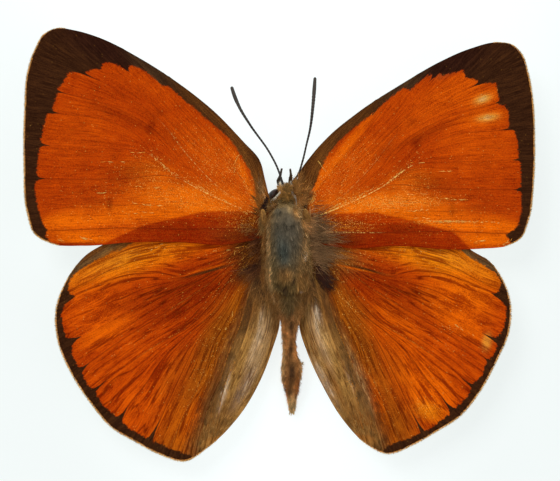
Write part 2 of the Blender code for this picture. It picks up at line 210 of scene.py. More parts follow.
LEFT_HINDWING = {
    "name": "left_hindwing",
    "level": HINDWING_LEVEL,
    "root": [(-1.65, 1.35), (-1.65, -1.6)],
    "edge": [
        (-3.3, 2.75), (-5.4, 2.85), (-8.3, 2.35), (-11.6, 1.45), (-14.1, 0.3), (-16.2, -0.95),
        (-17.75, -3.05), (-18.6, -5.45), (-18.45, -7.95), (-17.25, -10.85), (-15.75, -13.15),
        (-13.95, -15.25), (-12.05, -16.4), (-9.95, -17.5), (-7.95, -18.05), (-6.0, -16.95), (-3.75, -14.8),
        (-1.85, -11.85), (-0.6, -8.75), (-0.02, -6.6), (-0.1, -5.3), (-0.45, -3.9), (-1.05, -2.8),
    ],
    "fold": [(-1.65, -1.6), (-4.8, -16.0)],
    "first": (70, 276),
    "last": (217, 441),
    "veins": [
        [(261, 232), (235, 243), (205, 250), (170, 255), (140, 260), (110, 270), (85, 283), (60, 293)],
        [(260, 236), (230, 258), (205, 269), (185, 277), (155, 273), (120, 276.5), (95, 287), (75, 296),
         (57, 306)],
        [(259.5, 238), (230, 261), (205, 272), (184, 280), (150, 298), (120, 315), (92, 331), (78, 338),
         (60, 347)],
        [(259, 240), (232, 264), (207, 285), (180, 303), (150, 322), (120, 341), (100, 355), (88, 364),
         (75, 376)],
        [(258.5, 243), (235, 272), (212, 303), (192, 324), (163, 341), (131, 362), (110, 377), (97, 388),
         (84, 396)],
        [(258, 245), (238, 275), (215, 311), (186, 336), (165, 356), (144, 386), (128, 406), (120, 418),
         (110, 427)],
        [(258, 248), (242, 278), (222, 312), (199, 339), (182, 372), (168, 402), (158, 424), (146, 447)],
        [(258, 252), (246, 282), (230, 315), (215, 341), (203, 374), (192, 398), (180, 424), (166, 457)],
        [(259, 256), (250, 290), (238, 330), (228, 355), (221, 377), (206, 411), (194, 457)],
        [(260, 260), (256, 295), (247, 330), (237, 357), (226, 381), (218, 412), (212, 447)],
    ],
    "border": [
        (135, 242), (120, 250), (110, 253.5), (95, 261), (80, 270), (73, 275.5), (70, 280), (68, 285),
        (68.5, 291), (72, 297), (63, 305), (62, 311), (62, 320), (63.5, 330), (66.5, 337), (72, 340.5),
        (72, 349), (72.7, 355), (76.5, 364), (80, 369), (82, 373), (85.3, 380.7), (89, 386.4), (95.5, 390.5),
        (97, 396), (102, 404.7), (110.7, 412.3), (118, 418.5), (122, 421.5), (128.4, 428.8), (138.5, 434),
        (149, 441), (156.3, 443), (166.4, 448), (174, 450.5), (185.4, 455), (191, 456), (192, 470),
    ],
    "closing": [(290, 470), (290, 225), (135, 225)],
    "teeth": [
        (2, 0.3, 0.4), (3, 0.95, 0.3), (4, 0.95, 0.26), (5, 1.5, 0.14), (6, 1.4, 0.28), (7, 2.2, 0.24),
    ],
}
RIGHT_HINDWING = {
    "name": "right_hindwing",
    "level": HINDWING_LEVEL,
    "root": [(2.9, 1.35), (2.85, -1.7)],
    "edge": [
        (4.3, 2.55), (6.65, 2.8), (9.15, 2.45), (12.05, 1.75), (14.55, 0.85), (15.75, -0.35), (17.45, -1.45),
        (18.5, -2.95), (19.15, -5.0), (19.0, -7.25), (18.0, -9.65), (16.6, -12.25), (14.95, -14.3),
        (13.05, -15.55), (11.05, -16.7), (8.95, -17.45), (7.3, -16.75), (5.5, -15.0), (3.7, -12.1),
        (2.25, -9.0), (1.62, -6.9), (1.58, -5.4), (1.9, -4.0), (2.35, -2.9),
    ],
    "fold": [(2.85, -1.7), (6.1, -15.6)],
    "first": (488, 270),
    "last": (358, 439),
    "ends": [
        (505, 291), (508, 302), (504, 345), (495, 366), (477, 389), (458, 413), (425, 436), (405, 452),
        (386, 455), (368, 447),
    ],
    "border": [
        (452, 246), (459, 250), (464, 252.5), (469, 256.5), (477, 261.5), (486.5, 267), (494.5, 272.5),
        (499, 277.5), (501, 282), (500, 288), (497, 295), (500, 299), (504, 303), (505.5, 307),
        (506.5, 313.5), (505.5, 320), (504, 327), (501, 333.5), (496, 337), (497, 346), (494, 354),
        (488, 361), (485, 366), (483, 374), (479, 379), (474, 383), (472.5, 387), (469, 395), (463, 402),
        (457, 407), (450, 411), (449, 415), (444, 419), (436, 425), (428, 431), (420, 434), (410, 439),
        (400, 442), (390, 446), (384, 451), (380, 466),
    ],
    "closing": [(290, 466), (290, 230), (452, 230)],
    "teeth": [
        (2, 0.5, 0.4), (3, 1.2, 0.2), (4, 0.6, 0.16), (5, 1.3, 0.16), (6, 1.4, 0.2), (7, 1.9, 0.2),
    ],
}

# The hidden leading edges of the hindwings. Behind them the forewings carry painted shade where the
# hindwing lies under them
LEFT_OVERLAP = [(105, 243), (118, 237), (140, 227), (170, 219), (205, 211), (240, 211), (262, 214)]
RIGHT_OVERLAP = [(298, 214), (330, 214), (375, 212), (420, 222.5), (455, 233), (470, 249)]

# Soft washes of colour, in pixels: (x, y, along, across, turn in degrees, colour, strength)
FOREWING_WASHES = [
    (150, 120, 90, 60, 38, "flame", 0.2), (150, 85, 45, 12, 25, "amber", 0.25),
    (215, 162, 60, 21, 39, "amber", 0.55), (246, 180, 34, 3.2, 66, "gold", 0.7),
    (226, 146, 26, 3, 52, "amber", 0.5), (150, 171, 32, 11, 8, "gold", 0.35),
    (190, 200, 58, 15, 5, "gold", 0.95), (150, 213, 60, 9, 2, "gold", 0.75),
    (95, 228, 55, 15, 3, "amber", 0.9), (90, 220, 50, 6, -3, "gold", 0.6),
    (60, 222, 22, 9, -20, "gold", 0.5), (75, 130, 30, 40, 80, "amber", 0.3),
    (128, 172, 26, 9, -10, "ember", 0.45), (128, 120, 40, 5, 25, "ember", 0.45),
    (170, 135, 9, 5, 40, "ember", 0.3), (110, 203, 3, 8, 0, "ember", 0.7),
    (262, 196, 10, 26, 0, "umber", 0.7), (264, 226, 26, 15, 0, "plum", 0.9),
    (240, 236, 26, 7, 0, "umber", 0.5), (225, 232, 30, 8, 0, "straw", 0.12),
]
HINDWING_WASHES = [
    (165, 250, 80, 14, -19, "gold", 0.85), (150, 254, 80, 13, -19, "honey", 0.45),
    (105, 268, 46, 15, -25, "honey", 0.55), (110, 264, 40, 7, -27, "straw", 0.14),
    (200, 232, 40, 12, -5, "amber", 0.6), (100, 305, 34, 34, 0, "amber", 0.65),
    (105, 332, 32, 10, -28, "gold", 0.35), (200, 292, 58, 22, -27, "ember", 0.85),
    (150, 296, 40, 14, -25, "ember", 0.45), (212, 262, 24, 8, -25, "ember", 0.35),
    (125, 362, 46, 18, -35, "amber", 0.35), (140, 405, 32, 22, -45, "amber", 0.5),
    (180, 420, 18, 40, 22, "amber", 0.55), (225, 320, 20, 40, 30, "bronze", 0.6),
    (172, 372, 9, 34, 28, "bronze", 0.35), (256, 252, 24, 20, 0, "plum", 0.97),
    (240, 250, 20, 12, -30, "plum", 0.6), (252, 268, 16, 7, -45, "bark", 0.8),
    (225, 228, 30, 6, -8, "umber", 0.5),
]
# Hindwings: the silver washes are painted sheen, the narrow dark stripes beside them painted fold shade
EXTRA_WASHES = {
    "left_forewing": [
        (151, 127, 9, 4, -65, "ember", 0.75), (160, 113, 9, 4, -20, "ember", 0.4),
        (84, 238, 28, 8, 4, "gold", 0.9), (246, 237, 30, 8, -2, "plum", 0.7),
        (256, 224, 16, 10, 0, "plum", 0.5),
    ],
    "left_hindwing": [
        (254, 256, 14, 24, 10, "plum", 0.95), (244, 270, 22, 9, -45, "plum", 0.75),
        (262, 262, 6, 30, 0, "plum", 0.9), (180, 425, 20, 26, 25, "gold", 0.25),
        (236, 335, 6, 34, 28, "umber", 0.7), (216, 390, 5, 36, 22, "umber", 0.6),
        (130, 255, 60, 7, -15, "bronze", 0.3), (209, 271, 27, 1.4, -15.4, "bark", 1.0),
        (208, 268.5, 24, 1.0, -15.4, "gold", 0.5), (260, 352, 6, 34, 20, "silver", 0.15),
        (244, 390, 6, 24, 30, "silver", 0.25), (236, 398, 2.4, 22, 26, "bark", 0.5),
        (223, 396, 3, 18, 18, "silver", 0.4), (208, 405, 5, 34, 22, "bark", 0.4),
        (192, 415, 8, 26, 20, "amber", 0.3),
    ],
    "right_forewing": [
        (483, 99, 19, 8, -18, "gold", 0.7), (486, 118, 21, 7, -8, "gold", 0.7),
        (482, 99.5, 9, 4.2, -18, "straw", 1.0), (487, 118, 11, 3.8, -8, "straw", 1.0),
        (482, 99.5, 4, 2.2, -18, "sand", 0.6), (343, 152, 46, 4.5, -52, "gold", 0.6),
        (455, 92, 40, 14, -30, "gold", 0.3), (487, 118, 4, 1.8, -8, "sand", 0.6),
        (487, 239, 26, 7, 0, "gold", 0.9), (470, 140, 30, 40, 10, "amber", 0.3),
        (417, 142, 5, 9, 20, "ember", 0.85), (411, 122, 6, 6, 0, "ember", 0.6),
        # The smoke wash at (448, 66) is painted sheen over the leading edge
        (400, 205, 55, 9, 3, "gold", 0.6), (448, 66, 16, 8, -35, "smoke", 0.5),
        (440, 105, 56, 14, -35, "amber", 0.6), (338, 229, 26, 12, 0, "umber", 0.5),
        # The thin gold wash at (455, 226) is a painted highlight line
        (320, 218, 16, 14, 0, "plum", 0.6), (455, 226, 34, 4, 3, "gold", 0.5),
        (332, 241, 30, 8, 2, "plum", 0.75),
    ],
    "right_hindwing": [
        (487, 342, 5, 9, 10, "straw", 0.55), (440, 262, 60, 14, 20, "honey", 0.3),
        (470, 292, 22, 12, 30, "honey", 0.25), (465, 300, 24, 26, 0, "amber", 0.4),
        (380, 300, 46, 16, 22, "flame", 0.4), (425, 385, 34, 22, 40, "gold", 0.5),
        (338, 258, 26, 16, 20, "umber", 0.75), (324, 272, 22, 13, 40, "plum", 0.95),
        (318, 312, 2.6, 13, -14, "silver", 0.7), (326, 340, 6, 20, -18, "sand", 0.3),
        (325, 383, 4, 26, -28, "silver", 0.4), (368, 270, 22, 1.4, 14.3, "bark", 0.95),
        (356, 269, 20, 1.0, 12, "gold", 0.6), (455, 300, 34, 24, 20, "gold", 0.5),
        (360, 385, 8, 26, -20, "sand", 0.4), (379, 405, 8, 30, -20, "amber", 0.45),
        (314, 345, 4, 16, -10, "umber", 0.8), (327, 365, 4, 26, -22, "umber", 0.4),
        (350, 368, 7, 50, -22, "umber", 0.65), (362, 385, 3, 44, -20, "sand", 0.35),
        (395, 330, 34, 22, 45, "gold", 0.4), (430, 412, 15, 9, 20, "honey", 0.5),
        (380, 425, 30, 16, -10, "bronze", 0.5), (350, 300, 30, 9, 45, "bronze", 0.5),
    ],
}

# Silver washes here are painted sheen, the narrow bark stripes painted shade in the folds
GREY_EDGE_WASHES = [
    (248, 300, 14, 30, 0, "umber", 0.75), (229, 350, 2.4, 40, 22, "bark", 0.8),
    (216, 392, 3, 44, 20, "bark", 0.55), (240, 392, 4, 26, 24, "umber", 0.8),
    (262, 330, 10, 40, 10, "sand", 0.35), (212, 425, 24, 30, 0, "umber", 0.75),
    (225, 380, 3, 18, 20, "silver", 0.4), (256, 345, 4, 30, 22, "silver", 0.25),
    (261, 320, 2, 18, 10, "silver", 0.4), (196, 455, 14, 10, 0, "bark", 0.85),
]
INNER_HAIR_WASHES = [
    (248, 300, 16, 34, 0, "umber", 0.85), (215, 385, 9, 60, 22, "umber", 0.7),
    (262, 340, 8, 40, 10, "sand", 0.5),
]
FOREWING_RIM_WASHES = [
    (110, 45, 60, 22, 30, "soot", 0.9), (150, 68, 30, 10, 40, "smoke", 0.35),
    (205, 108, 40, 8, 42, "umber", 0.35), (240, 150, 34, 10, 60, "umber", 0.45),
    (262, 192, 14, 24, 0, "umber", 0.9),
]
HINDWING_RIM_WASHES = [
    (112, 250, 40, 12, -28, "umber", 0.9), (100, 254, 40, 3, -32, "smoke", 0.7),
    (75, 275, 16, 10, -40, "smoke", 0.5),
]
# Painted shade: how much the forewing is darkened where the hindwing lies under it
OVERLAP_SHADE = (0.62, 0.27, 0.35)

# Lines along veins: (vein, strength, from, to), as shares of the vein's length. The bright ones are
# painted highlights along the vein ridges
FOREWING_DARK = [
    (1, 0.25, 0.3, 1.0), (2, 0.2, 0.1, 0.8), (4, 0.3, 0.3, 0.6), (5, 0.2, 0.4, 0.85), (6, 0.45, 0.42, 0.95),
    (7, 0.3, 0.5, 0.9), (8, 0.2, 0.5, 0.95), (9, 0.55, 0.4, 1.0), (10, 0.35, 0.5, 0.95),
    (11, 0.75, 0.05, 0.95),
]
FOREWING_HIGHLIGHTS = [(8, 1.0, 0.04, 0.5), (5, 0.25, 0.1, 0.45)]
HINDWING_DARK = [
    (1, 0.6, 0.35, 0.95), (2, 0.45, 0.35, 0.9), (3, 0.25, 0.02, 0.6), (4, 0.7, 0.15, 1.0),
    (5, 0.6, 0.3, 1.0), (6, 0.8, 0.25, 1.0), (7, 0.8, 0.3, 1.0), (8, 0.9, 0.3, 0.97), (9, 0.7, 0.25, 1.0),
    (10, 0.45, 0.3, 0.9),
]
HINDWING_HIGHLIGHTS = [
    (4, 0.3, 0.3, 0.5), (5, 0.5, 0.5, 0.72), (6, 0.35, 0.05, 0.4), (8, 0.4, 0.6, 0.95), (9, 0.5, 0.3, 0.6),
    (10, 0.8, 0.55, 0.8),
]
EXTRA_HIGHLIGHTS = {
    "left_forewing": [(5, 0.3, 0.2, 0.5)],
    "right_forewing": [(8, 2.5, 0.02, 0.48), (11, 0.8, 0.1, 0.35)],
}

# Places where more scales carry painted glints: (x, y, along, across, turn in degrees, share). The first
# are in pixels of the left wing, the extra ones in each wing's own.
LEAST_GLITTER = 0.012
FOREWING_GLITTER = [
    (195, 195, 60, 16, 8, 0.18), (220, 165, 50, 20, 45, 0.14), (150, 170, 22, 16, 0, 0.14),
    (240, 220, 26, 12, 0, 0.16), (130, 205, 60, 30, 0, 0.06),
]
HINDWING_GLITTER = [
    (238, 258, 24, 18, -30, 0.07), (215, 345, 14, 60, 25, 0.09), (130, 262, 60, 14, -20, 0.05),
]
EXTRA_GLITTER = {
    "left_forewing": [(200, 207, 36, 5, 3, 0.16), (235, 165, 30, 7, 60, 0.1)],
    "right_forewing": [(396, 203, 46, 6, -2, 0.45), (443, 222, 30, 2.6, 0, 0.4), (350, 227, 26, 5, 3, 0.25)],
    "left_hindwing": [(232, 330, 4, 30, 25, 0.1)],
    "right_hindwing": [(345, 300, 34, 5, 48, 0.12), (365, 255, 44, 12, 5, 0.07), (425, 408, 14, 9, 0, 0.2)],
}

# Body sections from the front, as in the solids: (y, x, z, half width, half height)
THORAX_SECTIONS = [
    (3.28, 0.33, 2.6, 0.83, 0.9), (2.86, 0.42, 2.5, 1.33, 1.5), (2.2, 0.5, 2.3, 1.74, 2.05),
    (1.2, 0.58, 2.15, 2.03, 2.4), (-0.46, 0.62, 2.1, 2.12, 2.5), (-1.95, 0.64, 2.15, 2.0, 2.4),
    (-2.95, 0.66, 2.3, 1.66, 1.95), (-3.6, 0.7, 2.35, 1.37, 1.5), (-3.94, 0.74, 2.4, 1.04, 1.1),
]
ABDOMEN_SECTIONS = [
    (-4.06, 0.78, 2.35, 1.0, 1.0), (-4.6, 0.8, 2.3, 1.12, 1.12), (-5.5, 0.82, 2.2, 1.0, 1.1),
    (-6.4, 0.84, 2.05, 0.78, 1.0), (-7.2, 0.78, 1.9, 0.65, 0.9), (-7.8, 0.76, 1.8, 0.55, 0.82),
    (-8.6, 0.8, 1.65, 0.58, 0.78), (-9.3, 0.86, 1.55, 0.64, 0.78), (-10.0, 0.98, 1.45, 0.84, 0.82),
    (-10.6, 0.98, 1.35, 0.9, 0.85), (-11.3, 0.94, 1.25, 0.82, 0.8), (-12.2, 1.0, 1.1, 0.58, 0.62),
    (-13.0, 1.0, 0.95, 0.34, 0.42), (-13.7, 1.02, 0.85, 0.27, 0.3), (-14.15, 1.03, 0.8, 0.22, 0.2),
]
HEAD_SECTIONS = [
    (5.1, 0.48, 2.3, 0.34, 0.4), (4.85, 0.48, 2.28, 0.55, 0.66), (4.5, 0.48, 2.25, 0.78, 0.9),
    (4.1, 0.47, 2.22, 0.98, 1.02), (3.75, 0.45, 2.22, 1.05, 0.98), (3.45, 0.42, 2.25, 0.9, 0.78),
]
NECK = [(3.0, 0.4, 2.4, 0.75, 0.7)]  # carries the head's skin on into the thorax
WAIST = [(-3.2, 0.7, 2.35, 0.95, 0.95)]  # carries the abdomen's skin on into the thorax
SEGMENT_LENGTH = 1.15
EYE_RADII = (0.64, 0.38, 0.6)
EYE_TURN = math.radians(45.0)
EYE_OFFSET = 1.05
EYE_PLACE = (0.48, 4.15, 2.0)
TEGULA_RADII = (0.26, 0.72, 0.15)
TEGULA_PLACES = {"left": (-1.36, 2.35, 3.42, 8.0), "right": (2.24, 2.4, 3.42, 14.0)}

# Feelers, palps and legs, as in the solids: (x, y, z, radius) from the body outwards
ANTENNAE = {
    "left": [
        (0.24, 5.02, 2.98, 0.09), (0.08, 5.55, 3.08, 0.08), (-0.25, 6.45, 3.2, 0.075),
        (-0.85, 7.6, 3.35, 0.075), (-2.5, 9.95, 3.65, 0.09), (-3.3, 11.25, 3.8, 0.12),
        (-3.75, 12.25, 3.88, 0.155), (-4.02, 13.08, 3.9, 0.13),
    ],
    "right": [
        (0.95, 5.1, 2.42, 0.09), (1.45, 5.75, 2.54, 0.08), (1.92, 7.1, 2.95, 0.075), (2.2, 8.3, 3.2, 0.075),
        (2.5, 9.6, 3.42, 0.09), (2.72, 11.4, 3.7, 0.13), (2.84, 12.9, 3.86, 0.155), (2.9, 13.85, 3.9, 0.12),
    ],
}
PALPS = {
    "left": [
        (-0.1, 4.98, 1.72, 0.13), (-0.12, 5.3, 1.82, 0.19), (0.0, 5.7, 1.95, 0.1), (0.15, 6.35, 2.1, 0.045),
    ],
    "right": [
        (0.82, 5.2, 1.72, 0.13), (0.87, 5.42, 1.82, 0.18), (0.91, 5.75, 1.95, 0.09), (0.86, 6.3, 2.1, 0.045),
    ],
}
LEGS = {
    "foreleg": [
        (1.15, 2.35, 0.75, 0.15), (1.9, 3.1, 1.12, 0.17), (2.55, 3.75, 1.05, 0.13), (2.95, 4.5, 0.6, 0.11),
        (3.3, 5.2, 0.22, 0.09), (3.7, 6.0, 0.07, 0.07), (4.0, 6.6, 0.06, 0.055),
    ],
    "midleg": [
        (1.8, 0.2, 0.55, 0.16), (2.7, 0.75, 1.05, 0.18), (3.5, 1.05, 1.25, 0.14), (4.1, 0.65, 0.98, 0.12),
        (4.6, -0.2, 0.5, 0.1), (4.85, -0.95, 0.17, 0.09), (5.0, -1.9, 0.07, 0.07), (5.15, -2.9, 0.06, 0.055),
    ],
    "hindleg": [
        (1.75, -1.9, 0.6, 0.15), (2.6, -2.5, 1.05, 0.17), (3.25, -3.2, 1.2, 0.14), (3.6, -4.2, 0.95, 0.11),
        (3.8, -5.4, 0.5, 0.1), (3.95, -6.4, 0.19, 0.09), (4.1, -7.5, 0.07, 0.07), (4.2, -8.7, 0.06, 0.055),
    ],
}
PROBOSCIS_CENTRE = (0.45, 4.55, 0.92)
PROBOSCIS_TURNS = 2.1
PROBOSCIS_RADII = (0.13, 0.37)
PROBOSCIS_TUBE = 0.045

# Colours of the body, in pixels like the washes of the wings
BODY_WASHES = [
    (284, 255, 60, 60, 0, "olive", 1.0), (264, 245, 5.5, 60, 0, "ochre", 0.9),
    (304, 250, 7, 60, 0, "ochre", 0.5), (287.5, 235, 20, 38, 0, "slate", 0.97),
    (284, 254, 6, 14, 0, "teal", 0.8), (279, 244, 4, 16, 0, "teal", 0.4),
    (277.5, 211, 4.5, 6, 0, "teal", 0.5), (284, 203, 13, 3, 0, "sand", 0.5),
    (290, 207, 2.6, 6, 0, "sand", 0.8), (297, 210, 4, 9, 0, "ochre", 1.0),
    (266, 214, 4, 12, 0, "ochre", 0.8), (285, 277, 9, 9, 0, "ochre", 0.7), (277, 288, 3, 4, 0, "bark", 0.8),
    (285, 292, 3.5, 4, 0, "bark", 0.9), (293, 284, 2, 6, 25, "bark", 0.5), (284, 303, 7, 9, 0, "olive", 0.6),
    (268, 262, 1.8, 44, -5, "sand", 0.75), (302, 290, 5, 22, -10, "ochre", 0.5),
    (284, 190, 12, 9, 0, "brown", 0.9),
]
HEAD_WASHES = [
    (286, 190, 20, 20, 0, "brown", 1.0), (284, 188, 8, 5, 0, "sand", 0.25),
    (284, 202, 12, 3, 0, "olive", 0.6),
]
ABDOMEN_WASHES = [
    (291, 360, 40, 80, 0, "fawn", 1.0), (290, 296, 16, 22, 0, "olive", 0.9),
    (291, 312, 5, 14, 0, "bark", 0.6), (291.5, 330, 2.6, 8, 0, "bark", 0.7),
    (290.5, 352, 2.4, 12, 8, "bark", 0.8), (292, 374, 4.4, 12, 0, "bark", 0.85),
    (290, 392, 3.0, 7, 0, "bark", 0.6), (283, 376, 3, 22, 0, "sand", 0.5),
    (299, 380, 3, 18, 0, "umber", 0.4), (283, 355, 2.6, 12, 0, "sand", 0.5),
    (300, 340, 3, 16, 0, "ash", 0.7), (285, 387, 5, 12, 0, "bronze", 0.4),
    (299, 388, 5, 12, 0, "bronze", 0.6), (292, 410, 6, 12, 0, "sand", 0.95),
    (281.5, 360, 2.2, 34, 0, "sand", 0.6), (302, 372, 2.4, 24, 0, "sand", 0.4),
]


def linear(red, green, blue):
    """Linear light from a screen colour of 0 to 255."""
    share = np.array([red, green, blue]) / 255.0
    return tuple(np.where(share <= 0.04045, share / 12.92, ((share + 0.055) / 1.055) ** 2.4))


def colour_property(name, description, screen):
    return FloatVectorProperty(
        name=name, description=description, subtype="COLOR", size=3, min=0.0, max=1.0, default=linear(*screen)
    )


def length_property(name, description, millimetres, smallest=0.0):
    return FloatProperty(
        name=name, description=description, unit="LENGTH", precision=6, min=smallest, default=millimetres * MM
    )


class SpecimenColours(bpy.types.PropertyGroup):
    """Colours that the wings and the body are washed with."""

    flame: colour_property("Flame", "Main orange of the wings", (180, 55, 3))
    ember: colour_property("Ember", "Dark red of the wings", (126, 22, 2))
    amber: colour_property("Amber", "Lighter orange of the wings", (220, 86, 5))
    gold: colour_property("Gold", "Yellow-orange of the wings", (242, 108, 4))
    honey: colour_property("Honey", "Golden leading part of the hindwings", (236, 136, 12))
    straw: colour_property("Straw", "Pale yellow spots", (222, 158, 60))
    bronze: colour_property("Bronze", "Brown-orange towards the inner edge", (146, 72, 12))
    bark: colour_property("Bark", "Dark border of the wings", (56, 30, 16))
    soot: colour_property("Soot", "Darkest border, at the forewing's tip", (44, 20, 15))
    smoke: colour_property("Smoke", "Grey-brown leading edge and soft hair", (96, 72, 46))
    umber: colour_property("Umber", "Brown at the wing roots", (134, 80, 32))
    plum: colour_property("Plum", "Purple-black hindwing roots", (60, 27, 15))
    ash: colour_property("Ash", "Grey inner edge of the hindwings", (178, 132, 68))
    silver: colour_property("Silver", "Satin underside and the sheen of the grey edge", (224, 219, 208))
    olive: colour_property("Olive", "Hair on the thorax", (136, 112, 66))
    slate: colour_property("Slate", "Grey hair on the back", (110, 100, 82))
    teal: colour_property("Teal", "Blue-grey hair on the back", (72, 82, 76))
    ochre: colour_property("Ochre", "Golden hair on the flanks", (182, 128, 64))
    sand: colour_property("Sand", "Pale hair", (226, 188, 128))
    brown: colour_property("Brown", "Hair on the head", (186, 136, 66))
    fawn: colour_property("Fawn", "Sides of the abdomen", (206, 142, 78))
    haze: colour_property("Haze", "Soft hair over the right wing roots", (188, 140, 92))


class WingSettings(bpy.types.PropertyGroup):
    """Sizes of the wings' relief and trim."""

    membrane: length_property("Membrane", "Thickness of a wing", 0.07, 0.00001)
    ridge: length_property("Vein height", "How far a vein stands up from the membrane", 0.045)
    pleat: length_property("Pleat height", "Height of the small folds along the veins", 0.016)
    fringe: length_property("Fringe", "Length of the fringe along the outer edge", 0.22)


class FurSettings(bpy.types.PropertyGroup):
    """Amount and thickness of the hair."""

    thorax_hairs: IntProperty(name="Thorax hairs", description="Hairs on the thorax", default=10500, min=0)
    abdomen_hairs: IntProperty(name="Abdomen hairs", description="Hairs on the abdomen", default=6500, min=0)
    head_hairs: IntProperty(name="Head hairs", description="Hairs on the head", default=3200, min=0)
    thickness: length_property("Hair radius", "Radius of a hair at its root", 0.019, 0.000001)


class StageSettings(bpy.types.PropertyGroup):
    """Camera, floor and light."""

    distance: length_property("Camera distance", "From the camera to the wings", 129.1, 0.01)
    width: length_property("Framed width", "Width that the picture shows at the wings", 46.48, 0.01)
    floor: colour_property("Floor", "Colour of the plain floor", (244, 250, 250))
    light: FloatProperty(
        name="Key light", description="Power of the key light", default=0.62, min=0.0, unit="POWER"
    )


class Graph:
    """A material's nodes: each method adds one node and gives back its output socket."""

    def __init__(self, name):
        self.material = bpy.data.materials.new(name)
        self.material.use_nodes = True
        self.nodes = self.material.node_tree.nodes
        self.links = self.material.node_tree.links
        self.shader = self.nodes["Principled BSDF"]

    def add(self, kind, inputs, output=0, **settings):
        node = self.nodes.new(kind)
        for setting, value in settings.items():
            setattr(node, setting, value)
        self.feed(node, inputs)
        return node.outputs[output]

    def feed(self, node, inputs):
        """Links sockets to a node's inputs, and sets the inputs that are given as numbers."""
        for socket, value in inputs.items():
            if isinstance(value, bpy.types.NodeSocket):
                self.links.new(value, node.inputs[socket])
            elif value is not None:
                node.inputs[socket].default_value = value

    def math(self, operation, first, second=None, third=None):
        return self.add("ShaderNodeMath", {0: first, 1: second, 2: third}, operation=operation)

    def times(self, first, second):
        return self.math("MULTIPLY", first, second)

    def swayed(self, value, pattern, by):
        """The value moved up and down as a noise pattern leaves its middle."""
        return self.math("MULTIPLY_ADD", self.math("SUBTRACT", pattern, 0.5), by, value)

    def shaded(self, colour, red, green, blue):
        return self.mix(1.0, colour, (red, green, blue, 1.0), "MULTIPLY")

    def scaled(self, vector, by):
        return self.add("ShaderNodeVectorMath", {0: vector, 1: by}, operation="MULTIPLY")

    def split(self, vector):
        node = self.nodes.new("ShaderNodeSeparateXYZ")
        self.links.new(vector, node.inputs[0])
        return node.outputs[0], node.outputs[1], node.outputs[2]

    def attribute(self, name, output):
        return self.add("ShaderNodeAttribute", {}, output=output, attribute_name=name)

    def millimetres(self):
        place = self.add("ShaderNodeTexCoord", {}, output="Object")
        return self.scaled(place, (1 / MM, 1 / MM, 1 / MM))

    def noise(self, vector, scale=1.0, detail=2.0, roughness=0.5):
        inputs = {"Vector": vector, "Scale": scale, "Detail": detail, "Roughness": roughness}
        return self.add("ShaderNodeTexNoise", inputs, output="Fac")

    def between(self, value, low, high):
        """0 below low, 1 above high, smooth between."""
        inputs = {"Value": value, "From Min": low, "From Max": high}
        return self.add("ShaderNodeMapRange", inputs, interpolation_type="SMOOTHSTEP")

    def mix(self, share, first, second, blend="MIX"):
        inputs = {0: share, 6: first, 7: second}
        return self.add("ShaderNodeMix", inputs, output=2, data_type="RGBA", blend_type=blend)

    def cells(self, vector, scale):
        """Distance to the middle of the nearest cell, and the cell's own random number."""
        node = self.nodes.new("ShaderNodeTexVoronoi")
        self.feed(node, {"Vector": vector, "Scale": scale})
        return node.outputs["Distance"], self.split(node.outputs["Color"])[0]

    def finish(self, colour, roughness=0.6, bump=None, depth=0.01, **fixed):
        """Links the colour and the bump, whose depth is in millimetres, and sets the fixed sockets."""
        self.feed(self.shader, {"Base Color": colour, "Roughness": roughness})
        if bump is not None:
            normal = self.add("ShaderNodeBump", {"Height": bump, "Distance": depth * MM}, output="Normal")
            self.links.new(normal, self.shader.inputs["Normal"])
        for socket, value in fixed.items():
            self.shader.inputs[socket.replace("_", " ")].default_value = value
        return self.material


def rgba(colour):
    return (*colour, 1.0)


def screen(red, green, blue):
    return rgba(linear(red, green, blue))


